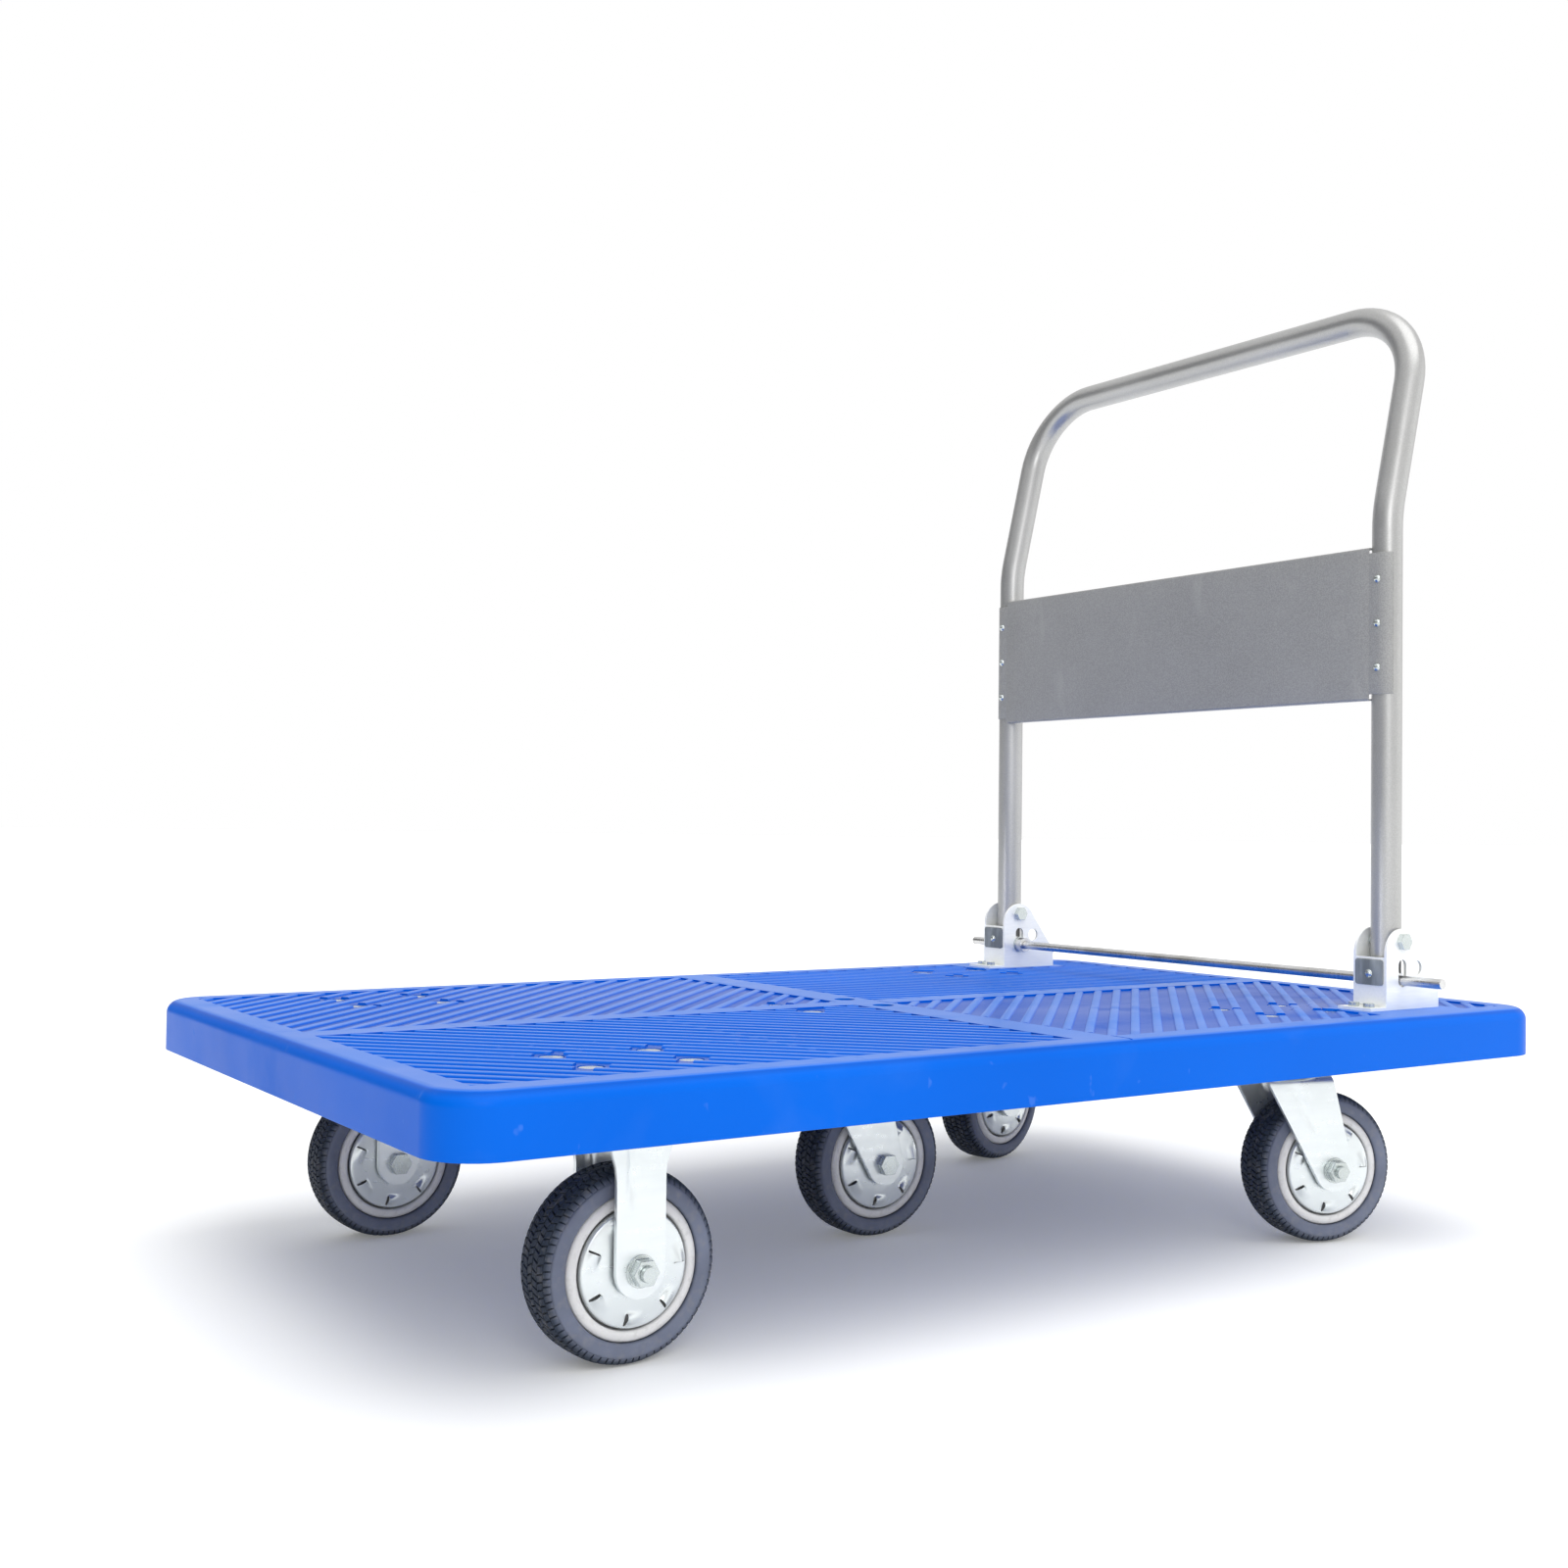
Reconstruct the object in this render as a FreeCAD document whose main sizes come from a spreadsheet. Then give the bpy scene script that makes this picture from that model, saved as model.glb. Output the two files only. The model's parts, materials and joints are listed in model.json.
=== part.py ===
import FreeCAD, Part
import math
import os
import re

import Sketcher

# Five-wheel platform truck with a folding handle.
# Frame: +Z up, X along the deck with the handle at +X, origin on the floor under the deck's centre.
# Left is -Y and right is +Y.

SIZES = {
    # deck
    "deck_length": 1205, "deck_width": 726, "deck_bottom": 184.5, "deck_top": 232,
    "deck_corner": 45, "deck_edge": 12, "skirt_wall": 5, "deck_skin": 4, "rib_wall": 4,
    "cells_long": 11, "cells_wide": 7, "corner_cut": 34, "border": 32, "band_cross": 22, "band_long": 15,
    "field_depth": 2, "parting_width": 2, "parting_depth": 1, "pad_long": 128, "pad_wide": 108,
    # casters
    "plate_top": 187, "plate_long": 110, "plate_wide": 90, "plate_thick": 5,
    "bolt_long_pitch": 43, "bolt_wide_pitch": 33, "bolt_rad": 5, "bolt_head_rad": 9.5,
    "bolt_head_high": 3, "bolt_sink": 5.5, "bolt_play": 0.5, "bolt_nut_rad": 9.2, "bolt_nut_high": 6.4,
    "bolt_end": 3, "flare_low": 36, "flare_out": 9, "shoulder_drop": 14, "shoulder_out": 8,
    "shoulder_top": 20,
    "fixed_place": -408, "fixed_track": 243, "swivel_place": 335, "swivel_track": 240,
    "centre_place": -42, "trail": 47,
    "leg_thick": 4, "leg_gap": 31.5, "leg_round": 21, "crown_rad": 44, "crown_top": 169.5,
    "race_rad": 30, "race_gap": 3, "race_play": 0.1, "ball_rad": 4, "ball_count": 18, "race_boss": 36,
    "dust_rad": 41, "dust_high": 9, "dust_wall": 1.2, "kingpin_rad": 7, "kingpin_end": 9,
    "kingpin_nut_rad": 12, "kingpin_nut_high": 7, "running_gap": 0.06, "axle_play": 0.1,
    "axle_nut_rad": 11, "axle_nut_high": 10, "axle_head_high": 7.5, "axle_end": 22,
    "axle_washer_rad": 12.5, "axle_washer_high": 1.6,
    # wheels
    "wheel_rad": 75, "tyre_half": 24.5, "tyre_seat": 56, "rim_half": 23.5, "rim_lip": 47,
    "hub_rad": 25, "bearing_rad": 17.5, "bearing_wide": 11, "sleeve_rad": 7.5, "axle_rad": 6,
    "cover_rad": 47, "cover_hole": 10.5, "cover_thick": 1.2, "cover_rise": 5,
    # handle
    "leg_place": 445, "leg_track": 289, "tube_rad": 15, "tube_wall": 2, "pivot_high": 300,
    "foot_reach": 33, "lean_high": 735, "lean_angle": 13.5, "lean_bend": 140,
    "top_high": 958, "corner_bend": 85,
    "panel_low": 544, "panel_high": 700, "panel_half": 279, "panel_tab": 306,
    "tab_inset": 6, "sheet_thick": 1.5, "hem_deep": 11, "hem_inset": 12, "rivet_pitch": 45,
    "rivet_rad": 4.5, "rivet_set": 1.8, "notch_play": 0.6, "notch_deep": 14,
    # brackets and locking rod
    "bracket_front": 420, "bracket_back": 503, "bracket_half": 20, "bracket_thick": 3,
    "toe_front": 396, "web_high": 284.3, "ear_round": 25, "ear_centre": 288, "heel_high": 252,
    "rod_rad": 5, "rod_high": 261, "rod_half": 356, "slot_low": 254.5, "slot_high": 282,
    "slot_half": 6, "hole_place": 468, "hole_high": 273, "hole_rad": 7.5, "ear_slope": 15,
    "pivot_rad": 5, "pivot_play": 0.3, "pivot_nut_rad": 9, "pivot_head_high": 5.5, "pivot_nut_high": 8,
    "pivot_end": 17, "screw_rad": 3, "screw_play": 0.3, "screw_head_rad": 5.6, "screw_head_high": 4,
    "screw_long": 20, "screw_half_pitch": 9, "screw_front": 11, "screw_back": 14,
    "stop_high": 26, "stop_drop": 2, "stop_play": 1, "stop_gap": 0.3, "stop_stem_rad": 2.5,
    "stop_button_rad": 6, "stop_button_high": 2.2, "stop_stem_drop": 15,
    "collar_rad": 9, "collar_wide": 10, "washer_wide": 1.6, "washer_lip": 1, "rod_gap": 0.3,
    # length of the cutters that pass right through a piece
    "through": 120,
}

doc = FreeCAD.newDocument("PlatformTruck")
sheet = doc.addObject("Spreadsheet::Sheet", "Sizes")
for row, (alias, value) in enumerate(SIZES.items(), 1):
    sheet.set(f"A{row}", alias)
    sheet.set(f"B{row}", str(value))
    sheet.setAlias(f"B{row}", alias)
doc.recompute()

ALIAS = re.compile(r"\b(" + "|".join(SIZES) + r")\b")
SWIVELS = {"left": -17.0, "right": 12.0, "centre": -3.0}
nodes = []


# ---------------------------------------------------------------- helpers

def size(alias):
    """A driving dimension as a number."""
    return float(getattr(sheet, alias))


def linked(formula):
    """The formula with each dimension's name pointed at the sheet."""
    return ALIAS.sub(r"Sizes.\1", str(formula))


def bind(thing, **formulas):
    """Bind properties to formulas; x, y, z mean the placement."""
    places = {"x": "Placement.Base.x", "y": "Placement.Base.y", "z": "Placement.Base.z"}
    for name, formula in formulas.items():
        thing.setExpression(places.get(name, name), linked(formula))
    return thing


def node(thing, label):
    """Name a finished sub-part; it is written to its own file."""
    thing.Label = label
    nodes.append(thing)
    return thing


def box(name, x, y, z, dx, dy, dz):
    """A box from its low corner and its three sizes."""
    made = doc.addObject("Part::Box", name)
    return bind(made, Length=dx, Width=dy, Height=dz, x=x, y=y, z=z)


def rod(name, radius, length, x=0, y=0, z=0, along="z"):
    """A cylinder from its base centre, along +X, +Y or +Z."""
    made = doc.addObject("Part::Cylinder", name)
    turns = {"x": ((0, 1, 0), 90), "y": ((1, 0, 0), -90), "z": ((0, 0, 1), 0)}
    axis, angle = turns[along]
    made.Placement.Rotation = FreeCAD.Rotation(FreeCAD.Vector(*axis), angle)
    return bind(made, Radius=radius, Height=length, x=x, y=y, z=z)


def hexagon(name, across_corner, length, x=0, y=0, z=0, along="z"):
    """A hexagonal prism, for bolt heads and nuts."""
    made = doc.addObject("Part::Prism", name)
    made.Polygon = 6
    turns = {"x": ((0, 1, 0), 90), "y": ((1, 0, 0), -90), "z": ((0, 0, 1), 0)}
    axis, angle = turns[along]
    made.Placement.Rotation = FreeCAD.Rotation(FreeCAD.Vector(*axis), angle)
    return bind(made, Circumradius=across_corner, Height=length, x=x, y=y, z=z)


def fuse(name, parts):
    """One solid from several."""
    made = doc.addObject("Part::MultiFuse", name)
    made.Shapes = parts
    made.Refine = True
    return made


def cut(name, base, tools):
    """The base with every tool taken out."""
    made = doc.addObject("Part::Cut", name)
    made.Base = base
    made.Tool = tools[0] if len(tools) == 1 else fuse(name + "_tools", tools)
    made.Refine = True
    return made


def copy(master, name, turn=0, flip=False, **place):
    """A linked copy of a master piece, turned about Z and moved."""
    made = doc.addObject("Part::Compound", name)
    made.Links = [master]
    rotation = FreeCAD.Rotation(FreeCAD.Vector(0, 0, 1), turn + (180 if flip else 0))
    made.Placement = FreeCAD.Placement(FreeCAD.Vector(), rotation)
    return bind(made, **place)


def group(label, members):
    """Identical pieces that share one node, each still its own solid."""
    made = doc.addObject("Part::Compound", label)
    made.Links = members
    return node(made, label)


def plane(body, role):
    """One of a body's own origin planes."""
    return next(item for item in body.Origin.OriginFeatures if item.Role == role)


def sketch(body, role, name, outlines, circles=()):
    """A sketch of closed outlines and circles, every point bound to the sheet."""
    made = body.newObject("Sketcher::SketchObject", name)
    made.AttachmentSupport = [(plane(body, role), "")]
    made.MapMode = "FlatFace"
    for corners in outlines:
        first = made.GeometryCount
        count = len(corners)
        for step in range(count):
            start = 2 * math.pi * step / count
            end = 2 * math.pi * (step + 1) / count
            made.addGeometry(Part.LineSegment(
                FreeCAD.Vector(50 * math.cos(start), 50 * math.sin(start), 0),
                FreeCAD.Vector(50 * math.cos(end), 50 * math.sin(end), 0)))
        for step in range(count):
            line = first + step
            after = first + (step + 1) % count
            made.addConstraint(Sketcher.Constraint("Coincident", line, 2, after, 1))
        for step, (across, up) in enumerate(corners):
            for kind, formula in (("DistanceX", across), ("DistanceY", up)):
                spot = made.addConstraint(Sketcher.Constraint(kind, -1, 1, first + step, 1, 10.0 + step))
                made.setExpression(f"Constraints[{spot}]", linked(formula))
    for across, up, radius in circles:
        ring = made.addGeometry(Part.Circle(FreeCAD.Vector(10, 10, 0), FreeCAD.Vector(0, 0, 1), 5))
        for kind, formula in (("DistanceX", across), ("DistanceY", up)):
            spot = made.addConstraint(Sketcher.Constraint(kind, -1, 1, ring, 3, 10.0))
            made.setExpression(f"Constraints[{spot}]", linked(formula))
        spot = made.addConstraint(Sketcher.Constraint("Radius", ring, 5.0))
        made.setExpression(f"Constraints[{spot}]", linked(radius))
    return made


def body(name):
    """An empty PartDesign body."""
    return doc.addObject("PartDesign::Body", name)


def pad(holder, profile, name, length, midplane=False, backwards=False):
    """Extrude a sketch into material."""
    made = holder.newObject("PartDesign::Pad", name)
    made.Profile = profile
    made.Midplane = midplane
    made.Reversed = backwards
    bind(made, Length=length)
    profile.Visibility = False
    return made


def pocket(holder, profile, name, depth, backwards=False):
    """Extrude a sketch out of the material, and make sure that it cuts."""
    doc.recompute()
    before = holder.Shape.Volume
    made = holder.newObject("PartDesign::Pocket", name)
    made.Profile = profile
    made.Reversed = backwards
    bind(made, Length=depth)
    doc.recompute()
    if holder.Shape.Volume >= before:
        raise RuntimeError(f"{name} cuts nothing")
    return made


def turned(name, role, outline):
    """A body turned about the vertical axis of its sketch."""
    made = body(name)
    profile = sketch(made, role, name + "_profile", [outline])
    spin = made.newObject("PartDesign::Revolution", name + "_turn")
    spin.Profile = profile
    spin.ReferenceAxis = (profile, ["V_Axis"])
    spin.Angle = 360
    return made


def rounded(holder, name, radius, wanted):
    """Fillet the edges of a body that the test picks."""
    doc.recompute()
    tip = holder.Tip
    picked = [f"Edge{i}" for i, edge in enumerate(tip.Shape.Edges, 1) if wanted(edge)]
    made = holder.newObject("PartDesign::Fillet", name)
    made.Base = (tip, picked)
    bind(made, Radius=radius)
    return made


# ---------------------------------------------------------------- deck

def rectangle(x_low, x_high, y_low, y_high):
    """A rectangle's corners as formulas."""
    return [(x_low, y_low), (x_high, y_low), (x_high, y_high), (x_low, y_high)]


def make_deck():
    """Moulded platform: skirt, skin, cells underneath, caster pads, grip fields on top."""
    holder = body("deck_body")
    outline = sketch(holder, "XY_Plane", "deck_outline", [rectangle(
        "-deck_length / 2", "deck_length / 2", "-deck_width / 2", "deck_width / 2")])
    outline.setExpression("AttachmentOffset.Base.z", linked("deck_bottom"))
    pad(holder, outline, "deck_block", "deck_top - deck_bottom")
    rounded(holder, "deck_corners", "deck_corner",
            lambda edge: abs(edge.tangentAt(edge.FirstParameter).z) > 0.99)
    top = size("deck_top")
    rounded(holder, "deck_top_edge", "deck_edge",
            lambda edge: abs(edge.BoundBox.ZMin - top) < 0.01 and abs(edge.BoundBox.ZMax - top) < 0.01)

    inside_long = "(deck_length - 2 * skirt_wall + rib_wall)"
    inside_wide = "(deck_width - 2 * skirt_wall + rib_wall)"
    cell_long = f"({inside_long} / cells_long - rib_wall)"
    cell_wide = f"({inside_wide} / cells_wide - rib_wall)"
    cell_deep = "deck_top - deck_bottom - field_depth - deck_skin"
    last = int(size("cells_wide")) - 1

    def cell(column, row):
        """One cell under the deck; the four at the corners keep clear of the round corners."""
        left = f"-deck_length / 2 + skirt_wall + {column} * {inside_long} / cells_long"
        low = f"-deck_width / 2 + skirt_wall + {row} * {inside_wide} / cells_wide"
        corners = rectangle(left, f"{left} + {cell_long}", low, f"{low} + {cell_wide}")
        if column not in (0, "(cells_long - 1)") or row not in (0, last):
            return corners
        outer = (0 if column == 0 else 1) if row == 0 else (3 if column == 0 else 2)
        inward_x = "+" if column == 0 else "-"
        inward_y = "+" if row == 0 else "-"
        x, y = corners[outer]
        along_x = (f"{x} {inward_x} corner_cut", y)
        along_y = (x, f"{y} {inward_y} corner_cut")
        pair = [along_y, along_x] if outer in (0, 2) else [along_x, along_y]
        return corners[:outer] + pair + corners[outer + 1:]

    cells = sketch(holder, "XY_Plane", "cell_row", [cell(1, row) for row in range(last + 1)])
    cells.setExpression("AttachmentOffset.Base.z", linked("deck_bottom"))
    first_row = pocket(holder, cells, "cell_pockets", cell_deep, backwards=True)
    pattern = holder.newObject("PartDesign::LinearPattern", "cell_rows")
    pattern.Originals = [first_row]
    pattern.Direction = (cells, ["H_Axis"])
    bind(pattern, Occurrences="cells_long - 2", Length=f"(cells_long - 3) * {inside_long} / cells_long")
    holder.Tip = pattern
    ends = sketch(holder, "XY_Plane", "end_cells", [
        cell(column, row) for column in (0, "(cells_long - 1)") for row in range(last + 1)])
    ends.setExpression("AttachmentOffset.Base.z", linked("deck_bottom"))
    pocket(holder, ends, "end_pockets", cell_deep, backwards=True)

    seats = []
    for place, track in CASTER_PLACES.values():
        seats.append(rectangle(f"{place} - pad_long / 2", f"{place} + pad_long / 2",
                               f"{track} - pad_wide / 2", f"{track} + pad_wide / 2"))
    recess = sketch(holder, "XY_Plane", "caster_seats", seats)
    recess.setExpression("AttachmentOffset.Base.z", linked("deck_bottom"))
    pocket(holder, recess, "caster_seat_pockets", "plate_top - deck_bottom", backwards=True)
    pads = sketch(holder, "XY_Plane", "caster_pads", seats)
    pads.setExpression("AttachmentOffset.Base.z", linked("plate_top"))
    pad(holder, pads, "caster_pad_blocks", "deck_top - field_depth - 1 - plate_top")

    # through holes for the caster bolts, and the round recesses for their heads
    spots = list(bolt_spots().values())
    for name, level, radius, depth, down in (
            ("bolt_holes", "plate_top", "bolt_rad + bolt_play", "deck_top - bolt_sink - plate_top", False),
            ("head_recesses", "deck_top", "bolt_head_rad + 2 * bolt_play", "bolt_sink", True)):
        holes = sketch(holder, "XY_Plane", name + "_plan", [], [(x, y, radius) for x, y in spots])
        holes.setExpression("AttachmentOffset.Base.z", linked(level))
        pocket(holder, holes, name, depth, backwards=not down)

    # grip fields, with a flat island left for each handle bracket
    fields = []
    for side in ("-", ""):
        inner = f"{side}band_long"
        outer = f"{side}(deck_width / 2 - border)"
        island = f"{side}(leg_track - bracket_half - 10)"
        fields.append(rectangle("-(deck_length / 2 - border)", "-band_cross", inner, outer))
        fields.append([("band_cross + parting_width", inner), ("deck_length / 2 - border", inner),
                       ("deck_length / 2 - border", outer), ("bracket_back + 12", outer),
                       ("bracket_back + 12", island), ("toe_front - 12", island),
                       ("toe_front - 12", outer), ("band_cross + parting_width", outer)])
    grip = sketch(holder, "XY_Plane", "grip_fields", fields)
    grip.setExpression("AttachmentOffset.Base.z", linked("deck_top"))
    pocket(holder, grip, "grip_recess", "field_depth")
    line = sketch(holder, "XY_Plane", "parting_line", [rectangle(
        "band_cross", "band_cross + parting_width", "-deck_width", "deck_width")])
    line.setExpression("AttachmentOffset.Base.z", linked("deck_top"))
    pocket(holder, line, "parting_groove", "parting_depth")
    node(holder, "deck_platform")


# ---------------------------------------------------------------- casters

CASTER_PLACES = {
    "fixed_left": ("fixed_place", "-fixed_track"),
    "fixed_right": ("fixed_place", "fixed_track"),
    "swivel_left": ("swivel_place", "-swivel_track"),
    "swivel_right": ("swivel_place", "swivel_track"),
    "swivel_centre": ("centre_place", "0"),
}


def bolt_spots():
    """Where each caster's four bolts stand, as formulas."""
    spots = {}
    for name, (place, track) in CASTER_PLACES.items():
        for x_sign in ("-", "+"):
            for y_sign in ("-", "+"):
                spots[f"{name}_{len(spots)}"] = (f"{place} {x_sign} bolt_long_pitch",
                                                 f"{track} {y_sign} bolt_wide_pitch")
    return spots


def caster_bolts():
    """Four bolts through the deck for each caster, heads sunk in the top, nuts under the plate."""
    head = rod("bolt_head", "bolt_head_rad", "bolt_head_high", z="deck_top - bolt_sink")
    low = "(plate_top - plate_thick - bolt_nut_high - bolt_end)"
    shank = rod("bolt_shank", "bolt_rad", f"deck_top - bolt_sink - {low} + 1", z=low)
    bolt = fuse("caster_bolt", [head, shank])
    nut_low = "plate_top - plate_thick - bolt_nut_high"
    nut = cut("caster_nut", hexagon("caster_nut_blank", "bolt_nut_rad", "bolt_nut_high", z=nut_low),
              [rod("caster_nut_hole", "bolt_rad", "through", z="plate_top - through / 2")])
    bolts = []
    nuts = []
    for name, (x, y) in bolt_spots().items():
        bolts.append(copy(bolt, f"bolt_{name}", x=x, y=y))
        nuts.append(copy(nut, f"nut_{name}", x=x, y=y))
    group("caster_bolts", bolts)
    group("caster_nuts", nuts)


def bolt_holes(name):
    """Cutters for the four holes of a caster plate."""
    holes = []
    for x_sign in ("-", ""):
        for y_sign in ("-", ""):
            holes.append(rod(name + "_hole", "bolt_rad + bolt_play", "plate_thick + 2",
                             f"{x_sign}bolt_long_pitch", f"{y_sign}bolt_wide_pitch",
                             "plate_top - plate_thick - 1"))
    return holes


def leg_pair(name, outline):
    """Two fork legs from one side outline, rounded about the axle."""
    holder = body(name)
    profile = sketch(holder, "XZ_Plane", name + "_side", [outline])
    pad(holder, profile, name + "_block", "2 * (leg_gap + leg_thick)", midplane=True)
    return holder


def fixed_fork_master():
    """Pressed fork of a fixed caster: top plate and two straight legs."""
    top = box("fixed_top", "-plate_long / 2", "-plate_wide / 2", "plate_top - plate_thick",
              "plate_long", "plate_wide", "plate_thick")
    legs = leg_pair("fixed_legs", [
        ("-leg_round", "wheel_rad"), ("leg_round", "wheel_rad"), ("leg_round", "plate_top - flare_low"),
        ("leg_round + flare_out", "plate_top - plate_thick"),
        ("-leg_round - flare_out", "plate_top - plate_thick"), ("-leg_round", "plate_top - flare_low")])
    ends = rod("fixed_leg_ends", "leg_round", "2 * (leg_gap + leg_thick)",
               y="-leg_gap - leg_thick", z="wheel_rad", along="y")
    blank = fuse("fixed_blank", [top, legs, ends])
    gap = box("fixed_gap", "-through", "-leg_gap", "0", "2 * through", "2 * leg_gap",
              "plate_top - plate_thick")
    axle = rod("fixed_axle_hole", "axle_rad + axle_play", "through", y="-through / 2", z="wheel_rad",
               along="y")
    return cut("fixed_fork", blank, [gap, axle] + bolt_holes("fixed"))


def swivel_plate_master():
    """Top plate of a swivel caster with the upper half of its ball race."""
    top = box("swivel_top", "-plate_long / 2", "-plate_wide / 2", "plate_top - plate_thick",
              "plate_long", "plate_wide", "plate_thick")
    boss = rod("swivel_boss", "race_boss", "plate_top - plate_thick - crown_top - race_gap",
               z="crown_top + race_gap")
    blank = fuse("swivel_plate_blank", [top, boss])
    groove = doc.addObject("Part::Torus", "upper_groove")
    bind(groove, Radius1="race_rad", Radius2="ball_rad + race_play", z="crown_top + race_gap / 2")
    pin = rod("swivel_pin_hole", "kingpin_rad", "through", z="crown_top - through / 2")
    return cut("swivel_plate", blank, [groove, pin] + bolt_holes("swivel"))


def swivel_fork_master():
    """Swivel fork: crown with the lower half of the race, and two legs that trail."""
    crown = rod("crown", "crown_rad", "leg_thick", z="crown_top - leg_thick")
    bridge = box("crown_bridge", "0", "-leg_gap - leg_thick", "crown_top - leg_thick",
                 "crown_rad", "2 * (leg_gap + leg_thick)", "leg_thick")
    legs = leg_pair("swivel_legs", [
        ("trail - leg_round * 4 / 5", "wheel_rad - leg_round * 3 / 5"),
        ("trail + leg_round", "wheel_rad"), ("crown_rad", "crown_top"),
        ("shoulder_top - crown_rad", "crown_top"),
        ("shoulder_out - crown_rad", "crown_top - shoulder_drop")])
    ends = rod("swivel_leg_ends", "leg_round", "2 * (leg_gap + leg_thick)", x="trail",
               y="-leg_gap - leg_thick", z="wheel_rad", along="y")
    blank = fuse("swivel_blank", [crown, bridge, legs, ends])
    gap = box("swivel_gap", "-through", "-leg_gap", "0", "2 * through", "2 * leg_gap",
              "crown_top - leg_thick")
    axle = rod("swivel_axle_hole", "axle_rad + axle_play", "through", "trail", "-through / 2",
               "wheel_rad", "y")
    groove = doc.addObject("Part::Torus", "lower_groove")
    bind(groove, Radius1="race_rad", Radius2="ball_rad + race_play", z="crown_top + race_gap / 2")
    pin = rod("crown_pin_hole", "kingpin_rad + running_gap", "through", z="crown_top - through / 2")
    return cut("swivel_fork", blank, [gap, axle, groove, pin])


def swivel_heads():
    """Kingpins and balls of the three swivel heads; they stay with the deck."""
    shank = rod("kingpin_shank", "kingpin_rad", "plate_top - crown_top + leg_thick + kingpin_end",
                z="crown_top - leg_thick - kingpin_end")
    nut = hexagon("kingpin_nut", "kingpin_nut_rad", "kingpin_nut_high",
                  z="crown_top - leg_thick - kingpin_nut_high - 4 * race_play")
    pin = fuse("kingpin_master", [shank, nut])
    ball = doc.addObject("Part::Sphere", "race_ball")
    bind(ball, Radius="ball_rad", z="crown_top + race_gap / 2")
    pins = []
    balls = []
    for side in SWIVELS:
        place, track = CASTER_PLACES[f"swivel_{side}"]
        pins.append(copy(pin, f"kingpin_{side}", x=place, y=track))
        for spot in range(int(size("ball_count"))):
            angle = f"360 / ball_count * {spot}"
            balls.append(copy(ball, f"ball_{side}", x=f"{place} + race_rad * cos({angle})",
                              y=f"{track} + race_rad * sin({angle})"))
    group("kingpins", pins)
    group("race_balls", balls)


def axle_masters():
    """Axle bolt, its nut and the hub sleeve, all about the Y axis at the wheel's centre."""
    start = "-leg_gap - leg_thick - axle_head_high"
    head = hexagon("axle_head", "axle_nut_rad", "axle_head_high", y=start, along="y")
    shank = rod("axle_shank", "axle_rad", "2 * (leg_gap + leg_thick) + axle_end", y=start, along="y")
    bolt = fuse("axle_bolt", [head, shank])
    nut_blank = hexagon("axle_nut_blank", "axle_nut_rad", "axle_nut_high", y="leg_gap + leg_thick",
                        along="y")
    washer = rod("axle_washer", "axle_washer_rad", "axle_washer_high", y="leg_gap + leg_thick", along="y")
    nut_hole = rod("axle_nut_hole", "axle_rad", "through", y="leg_gap", along="y")
    nut = cut("axle_nut", fuse("axle_nut_body", [nut_blank, washer]), [nut_hole])
    tube = rod("sleeve_tube", "sleeve_rad", "2 * leg_gap", y="-leg_gap", along="y")
    bore = rod("sleeve_bore", "axle_rad", "2 * leg_gap + 2", y="-leg_gap - 1", along="y")
    sleeve = cut("hub_sleeve", tube, [bore])
    return bolt, nut, sleeve


# ---------------------------------------------------------------- wheels

def wheel_masters():
    """Tyre, rim, cover discs and bearings, all turned about the Y axis at the wheel's centre."""
    tyre = turned("tyre", "XY_Plane", [
        ("tyre_seat", "-rim_half"), ("tyre_seat + 4", "-tyre_half"), ("wheel_rad - 7", "-tyre_half"),
        ("wheel_rad", "-tyre_half + 6"), ("wheel_rad", "tyre_half - 6"), ("wheel_rad - 7", "tyre_half"),
        ("tyre_seat + 4", "tyre_half"), ("tyre_seat", "rim_half")])
    rim = turned("rim", "XY_Plane", [
        ("bearing_rad", "-rim_half"), ("hub_rad", "-rim_half"), ("hub_rad", "-5"), ("rim_lip", "-5"),
        ("rim_lip", "-rim_half"), ("tyre_seat", "-rim_half"), ("tyre_seat", "rim_half"),
        ("rim_lip", "rim_half"), ("rim_lip", "5"), ("hub_rad", "5"), ("hub_rad", "rim_half"),
        ("bearing_rad", "rim_half"), ("bearing_rad", "rim_half - bearing_wide - 1"),
        ("sleeve_rad + 4", "rim_half - bearing_wide - 1"),
        ("sleeve_rad + 4", "bearing_wide + 1 - rim_half"),
        ("bearing_rad", "bearing_wide + 1 - rim_half")])
    cover = turned("cover", "XY_Plane", [
        ("cover_hole", "rim_half + cover_rise"), ("cover_rad * 0.55", "rim_half + cover_rise"),
        ("cover_rad * 0.88", "rim_half + cover_rise * 0.4"), ("cover_rad", "rim_half"),
        ("cover_rad", "rim_half - 3"), ("cover_rad - cover_thick", "rim_half - 3"),
        ("cover_rad - cover_thick", "rim_half - cover_thick"),
        ("cover_rad * 0.88", "rim_half + cover_rise * 0.4 - cover_thick"),
        ("cover_rad * 0.55", "rim_half + cover_rise - cover_thick"),
        ("cover_hole", "rim_half + cover_rise - cover_thick")])
    bearing = turned("bearing", "XY_Plane", [
        ("sleeve_rad + running_gap", "rim_half - bearing_wide"), ("sleeve_rad + 3", "rim_half - bearing_wide"),
        ("sleeve_rad + 3.4", "rim_half - bearing_wide + 1"),
        ("bearing_rad - 3.4", "rim_half - bearing_wide + 1"),
        ("bearing_rad - 3", "rim_half - bearing_wide"), ("bearing_rad", "rim_half - bearing_wide"),
        ("bearing_rad", "rim_half"), ("bearing_rad - 3", "rim_half"), ("bearing_rad - 3.4", "rim_half - 1"),
        ("sleeve_rad + 3.4", "rim_half - 1"), ("sleeve_rad + 3", "rim_half"),
        ("sleeve_rad + running_gap", "rim_half")])
    return tyre, rim, cover, bearing


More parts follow.
